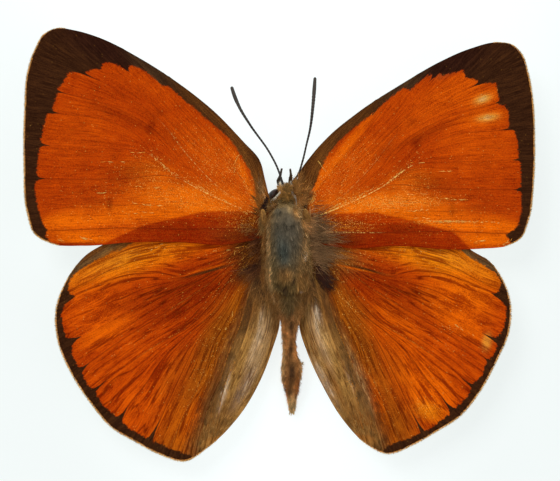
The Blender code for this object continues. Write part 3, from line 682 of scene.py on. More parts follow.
def wing_material(colours):
    """Scales on a wing's upper side. The washed tone is streaked along the veins and grained, with painted
    shade in thin creases, painted highlights on thin ridges and painted glints of single scales. Veins and
    teeth are lines at a distance from the nearest vein, the bright vein lines painted highlights, and the
    border starts where its distance passes zero."""
    g = Graph("wing_scales")
    ray = g.attribute("ray", "Vector")
    place = g.millimetres()
    border, vein, glitter = g.split(g.attribute("marks", "Vector"))
    dark, bright, part = g.split(g.attribute("lines", "Vector"))
    hindwing = g.math("MINIMUM", part, 1.0)
    grey = g.between(part, 1.02, 1.5)
    streak = g.noise(g.scaled(ray, (7.0, 0.17, 1.0)), detail=4.0, roughness=0.64)
    fine = g.noise(g.scaled(ray, (30.0, 0.9, 1.0)), detail=3.0, roughness=0.6)
    grain = g.noise(place, scale=11.0, detail=2.0, roughness=0.7)
    ragged = g.noise(place, scale=4.5, detail=2.0, roughness=0.6)
    mottle = g.noise(place, scale=0.9, detail=3.0)
    tone = g.attribute("tone", "Color")
    uneven = g.math("MULTIPLY_ADD", g.noise(place, scale=0.34, detail=1.0), 2.6, -0.5)
    weight = g.times(g.math("MULTIPLY_ADD", hindwing, 1.5, 1.0), uneven)
    value = g.times(g.math("SUBTRACT", streak, 0.5), weight)
    value = g.swayed(value, fine, 0.95)
    value = g.swayed(value, grain, 1.4)
    value = g.swayed(value, mottle, 0.5)
    deep = g.mix(1.0, tone, g.mix(grey, (0.5, 0.3, 0.25, 1.0), (0.48, 0.42, 0.34, 1.0)), "MULTIPLY")
    light = g.mix(1.0, tone, g.mix(grey, (1.24, 1.34, 1.1, 1.0), (1.4, 1.34, 1.2, 1.0)), "MULTIPLY")
    light = g.mix(1.0, light, g.mix(grey, (0.075, 0.02, 0.0, 1.0), (0.02, 0.02, 0.01, 1.0)), "ADD")
    colour = g.mix(g.between(value, 0.03, -0.4), tone, deep)
    colour = g.mix(g.between(value, -0.03, 0.42), colour, light)
    # Painted shade in thin creases and painted highlights on thin ridges along the rays, stronger on
    # hindwings
    fold_shading = g.math("MULTIPLY_ADD", hindwing, 0.65, 0.32)
    crease_shade = g.noise(g.scaled(ray, (5.0, 0.1, 2.0)), detail=2.0, roughness=0.5)
    crease_shade = g.between(g.math("ABSOLUTE", g.math("SUBTRACT", crease_shade, 0.5)), 0.028, 0.0)
    colour = g.mix(g.times(crease_shade, fold_shading), colour, g.shaded(deep, 0.8, 0.7, 0.8))
    # Painted highlights on thin ridges between the creases
    lit = g.noise(g.scaled(ray, (6.0, 0.13, 9.0)), detail=2.0, roughness=0.5)
    lit = g.between(g.math("ABSOLUTE", g.math("SUBTRACT", lit, 0.47)), 0.022, 0.0)
    colour = g.mix(g.times(lit, g.times(fold_shading, 0.8)), colour, light)
    # Painted glints of single shiny scales, more where the glitter share is high
    scales = g.noise(place, scale=21.0, detail=1.0, roughness=0.6)
    glint = g.times(g.between(scales, 0.53, 0.68), g.math("MULTIPLY_ADD", glitter, 2.4, 0.1))
    colour = g.mix(glint, colour, screen(252, 158, 44))
    line = g.times(g.between(vein, 0.08, 0.01), dark)
    colour = g.mix(line, colour, g.mix(0.7, colour, screen(84, 16, 4)))
    broken = g.between(g.noise(place, scale=7.0, detail=3.0), 0.47, 0.6)
    # Painted highlights along the veins, broken up by noise
    shine = g.times(g.times(g.between(vein, 0.055, 0.01), bright), broken)
    glow = g.mix(hindwing, screen(250, 204, 110), screen(250, 160, 56))
    colour = g.mix(shine, colour, glow)
    # Painted glints as small pale gold specks, also strewn over the border
    away, number = g.cells(place, 9.5)
    chosen = g.math("GREATER_THAN", number, g.math("SUBTRACT", 1.0, glitter))
    glint_speck = g.times(g.between(away, 0.4, 0.15), chosen)
    colour = g.mix(g.times(glint_speck, 0.8), colour, screen(255, 190, 84))
    jag = g.swayed(border, fine, 0.55)
    jag = g.swayed(jag, grain, 0.3)
    jag = g.swayed(jag, ragged, 0.3)
    inside = g.between(jag, -0.035, 0.05)
    rim = g.attribute("rim", "Color")
    banded = g.swayed(g.swayed(streak, grain, 1.0), fine, 1.2)
    rim = g.mix(g.between(banded, 0.2, 0.6), g.shaded(rim, 0.5, 0.45, 0.5), rim)
    rim = g.mix(g.between(banded, 0.45, 0.95), rim, g.shaded(rim, 1.9, 2.0, 1.5))
    rim = g.mix(g.times(glint_speck, 0.25), rim, rgba(colours.straw))
    colour = g.mix(inside, colour, rim)
    height = g.math("ADD", g.times(fine, 0.7), grain)
    rough = g.math("MULTIPLY_ADD", grain, 0.25, 0.42)
    settings = {"Specular_IOR_Level": 0.06, "Specular_Tint": (1.0, 0.42, 0.1, 1.0)}
    return g.finish(colour, roughness=rough, bump=height, depth=0.02, **settings)


def underside_material(colours):
    """Satin underside: silver, with rows of faint grey dashes across the spaces between the veins."""
    g = Graph("wing_underside")
    ray = g.attribute("ray", "Vector")
    place = g.millimetres()
    border, vein, _ = g.split(g.attribute("marks", "Vector"))
    _, t, _ = g.split(ray)
    wave = g.math("SINE", g.math("MULTIPLY_ADD", g.noise(ray, scale=1.3), 2.2, g.times(t, 0.9)))
    dash = g.times(g.between(wave, 0.82, 0.97), g.between(vein, 0.05, 0.3))
    grain = g.noise(place, scale=16.0, detail=2.0)
    colour = g.mix(g.between(grain, 0.35, 0.7), screen(205, 201, 192), rgba(colours.silver))
    colour = g.mix(g.times(dash, 0.35), colour, screen(130, 122, 112))
    colour = g.mix(g.between(vein, 0.05, 0.01), colour, screen(186, 168, 140))
    colour = g.mix(g.times(g.between(border, -0.1, 0.4), 0.35), colour, screen(150, 140, 126))
    return g.finish(colour, roughness=0.38, bump=grain, depth=0.015, Metallic=0.15, Sheen_Weight=0.3)


def tinted_material(name, roughness, scale, depth):
    """A finish that takes its colour from the piece's tint and grains it."""
    g = Graph(name)
    tint = g.attribute("tint", "Color")
    grain = g.noise(g.millimetres(), scale=scale, detail=3.0, roughness=0.6)
    dark = g.shaded(tint, 0.76, 0.76, 0.75)
    light = g.shaded(tint, 1.38, 1.38, 1.36)
    colour = g.mix(g.between(grain, 0.3, 0.7), dark, light)
    return g.finish(colour, roughness=roughness, bump=grain, depth=depth, Specular_IOR_Level=0.2)


def eye_material():
    """Faceted eye: small cells with darker joints, brown mottling, and a clear hard gloss."""
    g = Graph("eye_facets")
    place = g.millimetres()
    facet = g.between(g.cells(place, 26.0)[0], 0.55, 0.1)
    blotch = g.between(g.noise(place, scale=3.2, detail=2.0), 0.4, 0.65)
    colour = g.mix(blotch, screen(30, 12, 6), screen(72, 34, 16))
    colour = g.mix(facet, g.shaded(colour, 0.5, 0.5, 0.5), colour)
    return g.finish(colour, roughness=0.3, bump=facet, depth=0.01, Coat_Weight=0.12, Specular_IOR_Level=0.25)


def floor_material(colour):
    """Matt white that glows a little, so that shadows stay faint; it is greyer towards the lower corners."""
    g = Graph("floor")
    x, y, _ = g.split(g.millimetres())
    sideways = g.math("MULTIPLY_ADD", g.math("ABSOLUTE", x), 1.0, g.times(y, -0.35))
    shade = g.mix(g.between(sideways, 8.0, 26.0), rgba(colour), screen(232, 238, 237))
    g.links.new(shade, g.shader.inputs["Emission Color"])
    g.shader.inputs["Emission Strength"].default_value = 0.76
    return g.finish(g.shaded(shade, 0.4, 0.4, 0.4), roughness=0.8, Specular_IOR_Level=0.1)


def from_photo(points):
    """Millimetres from the photograph's pixels: x = (px - centre) * PIXEL, and y the other way up."""
    return (np.asarray(points, float) - PHOTO_CENTRE) * (PIXEL, -PIXEL)


def to_photo(points):
    return np.asarray(points, float) / (PIXEL, -PIXEL) + PHOTO_CENTRE


def smooth_step(value, low, high):
    share = np.clip((value - low) / (high - low), 0.0, 1.0)
    return share * share * (3.0 - 2.0 * share)


def unit(vectors):
    return vectors / np.linalg.norm(vectors, axis=-1, keepdims=True)


def turned(x, y, angle):
    """A pair of coordinates turned by an angle about the origin."""
    return x * math.cos(angle) - y * math.sin(angle), x * math.sin(angle) + y * math.cos(angle)


def smooth_curve(knots, at):
    """The curve through the knots, at shares from 0 to 1 of its length. Its slope at a knot is the parabola's
    through that knot and its two neighbours, and each stretch between is a cubic with those slopes."""
    knots = np.asarray(knots, float)
    steps = np.linalg.norm(np.diff(knots[:, :3], axis=0), axis=1)
    along = np.concatenate([[0.0], np.cumsum(steps)])
    slopes = np.gradient(knots, along, axis=0)
    place = np.asarray(at, float) * along[-1]
    first = np.clip(np.searchsorted(along, place, side="right") - 1, 0, len(steps) - 1)
    length = steps[first][:, None]
    u = (place[:, None] - along[first][:, None]) / length
    return (
        (2 * u**3 - 3 * u**2 + 1) * knots[first]
        + (u**3 - 2 * u**2 + u) * length * slopes[first]
        + (3 * u**2 - 2 * u**3) * knots[first + 1]
        + (u**3 - u**2) * length * slopes[first + 1]
    )


def resampled(path, at):
    """Points at shares of a path's length, straight between its own points."""
    steps = np.linalg.norm(np.diff(path, axis=0), axis=1)
    along = np.concatenate([[0.0], np.cumsum(steps)]) / steps.sum()
    return np.stack([np.interp(at, along, column) for column in path.T], axis=1)


def make_piece(name, points, quads, triangles, materials, attributes=None, replaces=()):
    """A mesh in millimetres from whole arrays, riding on the specimen and standing for the named nodes.
    Attributes with three numbers a point are vectors, those with four are colours."""
    quads = np.asarray(quads, int).reshape(-1, 4)
    triangles = np.asarray(triangles, int).reshape(-1, 3)
    sizes = np.concatenate([np.full(len(quads), 4), np.full(len(triangles), 3)])
    mesh = bpy.data.meshes.new(name)
    mesh.vertices.add(len(points))
    mesh.vertices.foreach_set("co", (np.asarray(points) * MM).astype(np.float32).ravel())
    mesh.loops.add(sizes.sum())
    corners = np.concatenate([quads.ravel(), triangles.ravel()])
    mesh.loops.foreach_set("vertex_index", corners.astype(np.int32))
    mesh.polygons.add(len(sizes))
    mesh.polygons.foreach_set("loop_start", (np.cumsum(sizes) - sizes).astype(np.int32))
    mesh.update(calc_edges=True)
    mesh.shade_smooth()
    for attribute, values in (attributes or {}).items():
        values = np.asarray(values, np.float32)
        if values.shape[1] == 4:
            mesh.attributes.new(attribute, "FLOAT_COLOR", "POINT").data.foreach_set("color", values.ravel())
        else:
            mesh.attributes.new(attribute, "FLOAT_VECTOR", "POINT").data.foreach_set("vector", values.ravel())
    for material in materials:
        mesh.materials.append(material)
    piece = bpy.data.objects.new(name, mesh)
    bpy.context.scene.collection.objects.link(piece)
    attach(piece, "root")
    if replaces:
        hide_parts(*replaces)
    return piece


def cached(name, make, *arguments):
    """The finish of that name, made once."""
    finish = bpy.data.materials.get(f"{name}_finish")
    if finish is None:
        finish = make(*arguments)
        finish.name = f"{name}_finish"
    return finish


def tinted(name, roughness=0.7, scale=18.0, depth=0.02):
    return cached(name, tinted_material, name, roughness, scale, depth)


def coat(name, part, finish, replaces=()):
    """A piece of one finish, from points, quads, triangles and tints."""
    points, quads, triangles, tint = part
    return make_piece(name, points, quads, triangles, [finish], {"tint": with_alpha(tint)}, replaces)


def grid_quads(columns, rows):
    """Corner numbers of a grid's quads, column by column."""
    column = np.arange(columns - 1)[:, None] * rows
    after = column + rows
    row = np.arange(rows - 1)[None, :]
    return np.stack([column + row, column + row + 1, after + row + 1, after + row], axis=2).reshape(-1, 4)


def lofted(rings, start, end):
    """Closed skin over rings of points that turn counter-clockwise about the way they advance, drawn together
    to a pole at each end. Gives points, quads and triangles."""
    count, sides = rings.shape[:2]
    points = np.concatenate([rings.reshape(-1, 3), [start, end]])
    side = np.arange(sides)
    after = (side + 1) % sides
    ring = np.arange(count - 1)[:, None] * sides
    quads = np.stack([ring + side, ring + after, ring + after + sides, ring + side + sides], axis=2)
    first, last = count * sides, count * sides + 1
    rim = (count - 1) * sides
    caps = [np.stack([np.full(sides, first), after, side], axis=1)]
    caps.append(np.stack([rim + side, rim + after, np.full(sides, last)], axis=1))
    return points, quads.reshape(-1, 4), np.concatenate(caps)


def tube(path, radius, sides, up):
    """Rings of a round tube: at each point of the path, a circle across the path's direction."""
    tangent = unit(np.gradient(path, axis=0))
    across = unit(np.cross(np.broadcast_to(up, tangent.shape), tangent))
    other = np.cross(tangent, across)
    turn = np.linspace(0.0, 2 * np.pi, sides, endpoint=False)[None, :, None]
    circle = across[:, None] * np.cos(turn) + other[:, None] * np.sin(turn)
    return path[:, None] + circle * np.asarray(radius)[:, None, None]


def closed_tube(path, radius, sides, up=(0.0, 0.0, 1.0), floor=0.0):
    """A round tube along a path, closed to a pole at each end and flattened where it meets the floor."""
    rings = tube(path, radius, sides, up)
    rings[..., 2] = np.maximum(rings[..., 2], floor)
    return lofted(rings, path[0], path[-1])


def blended(first, second, share):
    return np.asarray(first) * (1.0 - share) + np.asarray(second) * share


def ringed(tint):
    """A limb's tint for each ring, repeated round its corners and for its two poles."""
    return np.concatenate([np.repeat(tint, LIMB_SIDES, axis=0), tint[[0, -1]]])


def wash_share(points, x, y, along, across, degrees, strength):
    """Share of a wash at each point: its strength times exp(-r^3), where r is the distance from its centre in
    units of its two radii."""
    angle = math.radians(degrees)
    right, down = points[:, 0] - x, points[:, 1] - y
    first = (right * math.cos(angle) + down * math.sin(angle)) / along
    second = (down * math.cos(angle) - right * math.sin(angle)) / across
    return strength * np.exp(-((first**2 + second**2) ** 1.5))


def washed(base, points, washes, colours):
    """A colour, or one for each point, with washes laid over it one after another."""
    tone = np.broadcast_to(base, (len(points), 3))
    for *place, name, strength in washes:
        share = wash_share(points, *place, strength)[:, None]
        tone = blended(tone, getattr(colours, name), share)
    return tone


def with_alpha(colours):
    return np.concatenate([colours, np.ones((len(colours), 1))], axis=1)


def strands(root, heading, length, radius, bend, root_colour, tip_colour, rings=3):
    """Three-sided spikes. A spike's middle line is root + heading * length * s + bend * s^2, its radius is
    radius * (1 - 0.75 s), and it closes in a point at s = 1. Gives points, quads, triangles and tints."""
    count = len(root)
    heading = unit(heading)
    level = np.arange(rings) / rings
    up = np.where(np.abs(heading[:, 2:]) > 0.9, (1.0, 0.0, 0.0), (0.0, 0.0, 1.0))
    side = unit(np.cross(up, heading))
    other = np.cross(heading, side)
    turn = 2 * np.pi * np.arange(3) / 3
    corner = side[:, None] * np.cos(turn)[:, None] + other[:, None] * np.sin(turn)[:, None]
    reach = heading * length[:, None]
    middle = root[:, None] + reach[:, None] * level[:, None] + bend[:, None] * level[:, None] ** 2
    thick = radius[:, None] * (1.0 - 0.75 * level)
    body = middle[:, :, None] + corner[:, None] * thick[:, :, None, None]
    tip = (root + reach + bend)[:, None]
    points = np.concatenate([body.reshape(count, -1, 3), tip], axis=1)
    size = rings * 3 + 1
    first = (np.arange(count) * size)[:, None, None]
    ring = 3 * np.arange(rings - 1)[:, None, None]
    square = np.array([[0, 1, 4, 3], [1, 2, 5, 4], [2, 0, 3, 5]])
    quads = first[..., None] + (ring + square)[None].reshape(1, -1, 1, 4)
    last = 3 * (rings - 1)
    point = size - 1
    spike = [[last, last + 1, point], [last + 1, last + 2, point], [last + 2, last, point], [0, 2, 1]]
    triangles = first + np.array(spike)[None]
    share = np.concatenate([np.repeat(level, 3), [1.0]])[None, :, None]
    tint = root_colour[:, None] * (1.0 - share) + tip_colour[:, None] * share
    return points.reshape(-1, 3), quads.reshape(-1, 4), triangles.reshape(-1, 3), tint.reshape(-1, 3)


def joined(parts):
    """One set of points, quads, triangles and tints from several."""
    offset = 0
    points, quads, triangles, tints = [], [], [], []
    for part in parts:
        points.append(part[0])
        quads.append(part[1] + offset)
        triangles.append(part[2] + offset)
        tints.append(part[3])
        offset += len(part[0])
    return tuple(np.concatenate(group) for group in (points, quads, triangles, tints))


def wing_height(flat, wing):
    """Height of a wing's upper face: it rises evenly outwards, and past a hindwing's fold it curves down as
    the square of the distance from the fold line."""
    x, y = flat[..., 0], flat[..., 1]
    height = wing["level"] + WING_RISE * np.abs(x - MIDLINE)
    if "fold" in wing:
        (fx, fy), (tx, ty) = wing["fold"]
        side = math.copysign(1.0, MIDLINE - fx)
        past = side * ((x - fx) * (fy - ty) + (y - fy) * (tx - fx)) / math.hypot(tx - fx, ty - fy)
        height = height - GUTTER_DROP * (np.clip(past, 0.0, None) / GUTTER_WIDTH) ** 2
    return height


def fitted_map(source, target):
    """The affine map that takes one set of points nearest to another, by least squares."""
    return np.linalg.lstsq(np.c_[source, np.ones(len(source))], target, rcond=None)[0]


def mapped(matrix, points):
    points = np.asarray(points, float)
    return np.c_[points, np.ones(len(points))] @ matrix


def landmarks(wing):
    ends = wing["ends"] if "ends" in wing else [vein[-1] for vein in wing["veins"]]
    return np.concatenate([to_photo(wing["root"]), [wing["first"]], ends, [wing["last"]]])


def at_home(wing, partner, points):
    """Pixels of a right wing carried over to the left one that it is matched with."""
    return points if partner is wing else mapped(fitted_map(landmarks(wing), landmarks(partner)), points)


def nearest_step(outline, pixel):
    return int(np.argmin(np.linalg.norm(to_photo(outline) - pixel, axis=1)))


def matched_veins(wing, partner):
    """Veins of a right wing: the left wing's, carried over by the affine map between their landmarks, then
    eased to the ends seen on the right by the square of the way along."""
    matrix = fitted_map(landmarks(partner), landmarks(wing))
    veins = []
    for vein, end in zip(partner["veins"], wing["ends"]):
        carried = mapped(matrix, vein)
        share = np.linspace(0.0, 1.0, len(carried))[:, None] ** 2
        veins.append(carried + share * (np.array(end) - carried[-1]))
    return veins


def inside_polygon(points, polygon):
    """True where a ray to the left crosses the polygon an odd number of times."""
    x, y = points[:, :1], points[:, 1:]
    x1, y1 = polygon.T
    x2, y2 = np.roll(polygon, -1, axis=0).T
    rise = np.where(y2 == y1, 1e-9, y2 - y1)
    crosses = ((y1 > y) != (y2 > y)) & (x < (x2 - x1) * (y - y1) / rise + x1)
    return crosses.sum(axis=1) % 2 == 1


def border_distance(points, wing):
    """Distance in millimetres to the border's inner edge, above zero on the dark side."""
    line = np.array(wing["border"])
    start, step = line[:-1], np.diff(line, axis=0)
    away = points[:, None] - start
    share = np.clip((away * step).sum(2) / (step**2).sum(1), 0.0, 1.0)
    distance = np.linalg.norm(away - share[..., None] * step, axis=2).min(axis=1) * PIXEL
    closed = np.concatenate([line, wing["closing"]])
    return np.where(inside_polygon(points, closed), -distance, distance)


def wing_outline(wing, inset):
    """The wing's edge, drawn in by the fringe's room from where the leading edge ends."""
    outline = smooth_curve(wing["edge"], np.linspace(0.0, 1.0, 2001))
    stop = nearest_step(outline, wing["first"])
    tangent = unit(np.gradient(outline, axis=0))
    inward = np.stack([-tangent[:, 1], tangent[:, 0]], axis=1)
    inward *= np.sign(((outline.mean(axis=0) - outline) * inward).sum())
    last = nearest_step(outline, wing["last"])
    along = np.arange(len(outline))
    before, after = TRIM_STEPS
    opening = smooth_step(along, stop - before, stop + after)
    room = inset * opening * smooth_step(along, last + after, last)
    return outline + inward * room[:, None], stop


def wing_surface(wing, veins, inset):
    """P(u, t) runs along the veins with t and across them with u, one unit a strip. In strip k it is
    (1 - f) C_k(t) + f C_k+1(t) + t^3 * (edge(u) - its chord), where C_k is the curve of vein k."""
    outline, stop = wing_outline(wing, inset)
    ends = [vein[-1] for vein in veins] + [wing["last"]]
    stops = [stop] + [nearest_step(outline, end) for end in ends]
    rows = np.linspace(0.0, 1.0, WING_ROWS)
    inward = (math.copysign(ROOT_REACH, MIDLINE - wing["root"][0][0]), 0.0)
    front, back = np.array(wing["root"]) + inward
    curves = [resampled(np.concatenate([[front], outline[: stop + 1]]), rows)]
    for vein, place in zip(veins, stops[1:]):
        knots = np.concatenate([from_photo(vein[:-1]), [outline[place]]])
        knots[0] += inward
        curves.append(smooth_curve(knots, rows))
    curves.append(resampled(np.concatenate([[back], outline[stops[-1]:][::-1]]), rows))
    curves = np.stack(curves)
    strips = len(curves) - 1
    even = np.linspace(0.0, 1.0, STRIP_COLUMNS, endpoint=False)
    spaced = 0.5 * even + 0.25 * (1.0 - np.cos(np.pi * even))
    u = np.append((np.arange(strips)[:, None] + spaced).ravel(), strips)
    strip = np.minimum(u.astype(int), strips - 1)
    f = (u - strip)[:, None, None]
    chord = (1.0 - f) * curves[strip] + f * curves[strip + 1]
    share = np.interp(u, np.arange(strips + 1), stops)
    edge = np.stack([np.interp(share, np.arange(len(outline)), column) for column in outline.T], axis=1)
    flat = chord + (rows**3)[None, :, None] * (edge - chord[:, -1])[:, None]
    tangent = unit(np.gradient(chord, axis=1))
    across = curves[strip + 1] - curves[strip]
    width = np.abs(tangent[..., 0] * across[..., 1] - tangent[..., 1] * across[..., 0])
    vein_distance = np.minimum(f[..., 0], 1.0 - f[..., 0]) * width
    length = np.linalg.norm(np.diff(chord, axis=1), axis=2).sum(axis=1)
    return {"flat": flat, "u": u, "t": rows, "width": width, "vein": vein_distance, "length": length}


def line_strength(shape, nearest, t, lines):
    """Strength of the line along the nearest vein, faded in and out over a twelfth of its length."""
    strength = np.zeros(shape)
    for vein, amount, start, stop in lines:
        window = smooth_step(t, start - 0.06, start + 0.06) * smooth_step(t, stop + 0.06, stop - 0.06)
        strength += np.where(nearest[:, None] == vein, amount * window[None, :], 0.0)
    return strength


def wing_tones(wing, surface, home, colours):
    """Linear colours inside the border and of the border itself at each point of the grid."""
    hind = "fold" in wing
    points = to_photo(surface["flat"].reshape(-1, 2))
    washes = HINDWING_WASHES if hind else FOREWING_WASHES
    tone = washed(colours.flame, home, washes, colours)
    u = np.repeat(surface["u"], WING_ROWS)
    if hind:
        brown = BROWN_STRENGTH * smooth_step(u, *BROWN_STRIPS)[:, None]
        tone = blended(tone, colours.bronze, brown)
        inner = smooth_step(u, *GREY_STRIPS)[:, None]
        grey = washed(colours.ash, home, GREY_EDGE_WASHES, colours)
        tone = blended(tone, grey, inner)
        tone = washed(tone, points, EXTRA_WASHES[wing["name"]], colours)
    else:
        tone = washed(tone, points, EXTRA_WASHES[wing["name"]], colours)
        # Painted shade: the forewing is darkened and reddened behind the hidden edge of the hindwing under it
        overlap = LEFT_OVERLAP if wing["name"].startswith("left") else RIGHT_OVERLAP
        line = np.interp(points[:, 0], *np.array(overlap).T)
        under = smooth_step(points[:, 1] - line, -1.0, 1.2)[:, None]
        tone = tone * (1.0 - under * (1.0 - np.array(OVERLAP_SHADE)))
        tone = blended(tone, colours.ember, EMBER_OVERLAP_SHADE * under)
    return tone, washed(colours.bark, home, HINDWING_RIM_WASHES if hind else FOREWING_RIM_WASHES, colours)


def build_wing(wing, partner, context):
    """A wing as a thin closed membrane: the woven grid, raised along the veins and pleated between them."""
    settings, colours = context.scene.specimen_wings, context.scene.specimen_colours
    veins = wing.get("veins") or matched_veins(wing, partner)
    surface = wing_surface(wing, veins, FRINGE_INSET * settings.fringe / MM)
    flat, u, t = surface["flat"], surface["u"], surface["t"]
    shape = flat.shape[:2]
    points = to_photo(flat.reshape(-1, 2))
    home = at_home(wing, partner, points)
    hind = "fold" in wing
    kind = "hind" if hind else "fore"
    room = np.minimum(1.0, surface["width"] / 0.6)
    ridge = settings.ridge / MM * np.exp(-((surface["vein"] / VEIN_WIDTH) ** 2))
    ridge = ridge * (1.0 - VEIN_TAPER * t)[None, :]
    wave = np.sin(2 * np.pi * (3.0 * u + 0.15 * np.sin(5 * u)))[:, None]
    second = 0.6 * np.sin(2 * np.pi * (5.3 * u + 0.3 * np.sin(3 * u)))
    wave = wave + second[:, None] * np.sin(7.0 * t + 2.0)[None, :]
    wave = wave + 0.5 * np.sin(2 * np.pi * 8.0 * u)[:, None] * smooth_step(t, 0.5, 0.9)[None, :]
    envelope = smooth_step(t, 0.1, 0.5) * smooth_step(t, 1.02, 0.85)
    pleats = settings.pleat / MM * PLEATS[kind] * wave * envelope[None, :] * room
    sag = SAG[kind] * np.sin(np.pi * (u % 1.0))
    hollow = sag[:, None] * room * smooth_step(t, 0.1, 0.4)[None, :]
    base = wing_height(flat, wing)
    height = np.minimum(base - SKIN_DEPTH + ridge + pleats + hollow, base + PLEAT_CEILING)
    nearest = np.rint(u).astype(int)
    border = border_distance(points, wing).reshape(shape)
    for vein, length, half_width in wing["teeth"]:
        tooth = length * (1.0 - np.clip(surface["vein"] / half_width, 0.0, 1.0) ** 0.5)
        border = border + np.where(nearest[:, None] == vein, tooth, 0.0)
    tone, rim = wing_tones(wing, surface, home, colours)
    dark = line_strength(shape, nearest, t, HINDWING_DARK if hind else FOREWING_DARK)
    lights = HINDWING_HIGHLIGHTS if hind else FOREWING_HIGHLIGHTS
    bright = line_strength(shape, nearest, t, lights + EXTRA_HIGHLIGHTS.get(wing["name"], []))
    glitter = glitter_share(home, hind, points, EXTRA_GLITTER[wing["name"]]).reshape(shape)
    part = np.broadcast_to((hind * (1.0 + smooth_step(u, *GREY_STRIPS)))[:, None], shape)
    across, along = STREAKS[kind] * u[:, None] + 0 * t, t[None, :] * surface["length"][:, None]
    ray = np.stack([across, along, np.zeros(shape)], axis=2)
    marks = np.stack([np.clip(border, -3.0, 3.0), surface["vein"], glitter], axis=2)
    lines = np.stack([dark, bright, part], axis=2)
    attributes = {
        "ray": ray.reshape(-1, 3), "marks": marks.reshape(-1, 3), "lines": lines.reshape(-1, 3),
        "tone": with_alpha(tone), "rim": with_alpha(rim),
    }
    body = np.concatenate([flat, height[..., None]], axis=2).reshape(-1, 3)
    quads = grid_quads(len(u), len(t))
    corner, one, other = body[quads[:, 0]], body[quads[:, 1]], body[quads[:, 3]]
    if np.cross(one - corner, other - corner)[:, 2].sum() < 0:
        quads = quads[:, ::-1]
    upper = cached("wing_scales", wing_material, colours)
    under = cached("wing_underside", underside_material, colours)
    name = wing["name"]
    faces = [upper, under]
    piece = make_piece(f"{name}_membrane", body, quads, [], faces, attributes, (name,))
    solid = piece.modifiers.new("membrane", "SOLIDIFY")
    solid.thickness = settings.membrane
    solid.offset = -1.0
    solid.use_even_offset = False
    solid.material_offset = 1
    return piece


def glitter_share(home, hind, points, own):
    """Share of the scales painted as glinting, highest below the forewing's stem and along the hindwing's
    fold.
    """
    share = np.full(len(home), LEAST_GLITTER)
    for at, places in ((home, HINDWING_GLITTER if hind else FOREWING_GLITTER), (points, own)):
        for place in places:
            share += wash_share(at, *place)
    return share


def build_fringe(wing, context):
    """Hair scales along the wing's outer edge, cream with darker roots, pointing outwards and a little on."""
    settings, colours = context.scene.specimen_wings, context.scene.specimen_colours
    outline, _ = wing_outline(wing, FRINGE_INSET * settings.fringe / MM)
    end = min(nearest_step(outline, wing["last"]), len(outline) - 61)
    random = np.random.default_rng(len(wing["name"]) * 7 + int(wing["root"][0][0] < 0))
    reach = np.linalg.norm(np.diff(outline, axis=0), axis=1).sum()
    count = int(reach * FRINGE_DENSITY)
    stop = nearest_step(outline, landmarks(wing)[2 if "fold" in wing else 6])
    place = random.uniform(stop - 40, end, count)
    tangent = unit(np.gradient(outline, axis=0))
    outward = np.stack([tangent[:, 1], -tangent[:, 0]], axis=1)
    outward *= np.sign(((outline - outline.mean(axis=0)) * outward).sum())
    index = place.astype(int)
    fade = smooth_step(place, stop - 40, stop + 120) * (1.0 - 0.7 * smooth_step(place, end - 120, end))
    flat = outline[index] - outward[index] * random.uniform(0.0, 0.06, (count, 1))
    z = wing_height(flat, wing) - SKIN_DEPTH - 0.02
    root = np.c_[flat, z + random.uniform(-0.03, 0.02, count)]
    heading = outward[index] + tangent[index] * random.normal(0.0, 0.35, (count, 1))
    heading = np.c_[heading, random.normal(-0.03, 0.06, count)]
    length = settings.fringe / MM * random.uniform(0.55, 1.0, count) * (0.35 + 0.65 * fade)
    radius = random.uniform(0.01, 0.017, count)
    dark = random.random((count, 1)) < 0.25
    root_colour = np.where(dark, colours.bark, linear(238, 150, 54)) * random.uniform(0.8, 1.2, (count, 1))
    tip_colour = np.where(dark, colours.umber, linear(255, 240, 168)) * random.uniform(0.9, 1.1, (count, 1))
    bend = np.zeros((count, 3))
    part = strands(root, heading, length, radius, bend, root_colour, tip_colour, rings=2)
    coat(f"{wing['name']}_fringe", part, tinted("fringe_scales", 0.6))


def scattered(random, x, y, along, across, degrees, count):
    """Random pixels about a spot, spread normally by half of each length on a turned pair of axes."""
    angle = math.radians(degrees)
    first, second = random.normal(0.0, 0.5, (2, count)) * np.array([[along], [across]])
    return np.stack(turned(first, second, angle), axis=1) + (x, y)


def flakes(place, heading, size, colour):
    """Loose scales: eight-faced flakes, long along the heading, half as wide and a fifth as thick."""
    count = len(place)
    heading = unit(heading)
    side = unit(np.cross((0.0, 0.0, 1.0), heading))
    up = np.cross(heading, side)
    arm = size[:, None]
    half = np.minimum(0.42 * arm, 0.024)
    corners = [heading * arm, side * half, -heading * arm, -side * half, up * 0.008, -up * 0.008]
    points = (place[:, None] + np.stack(corners, axis=1)).reshape(-1, 3)
    pattern = [[0, 1, 4], [1, 2, 4], [2, 3, 4], [3, 0, 4], [1, 0, 5], [2, 1, 5], [3, 2, 5], [0, 3, 5]]
    triangles = ((np.arange(count) * 6)[:, None, None] + np.array(pattern)).reshape(-1, 3)
    return points, np.zeros((0, 4), int), triangles, np.repeat(colour, 6, axis=0)


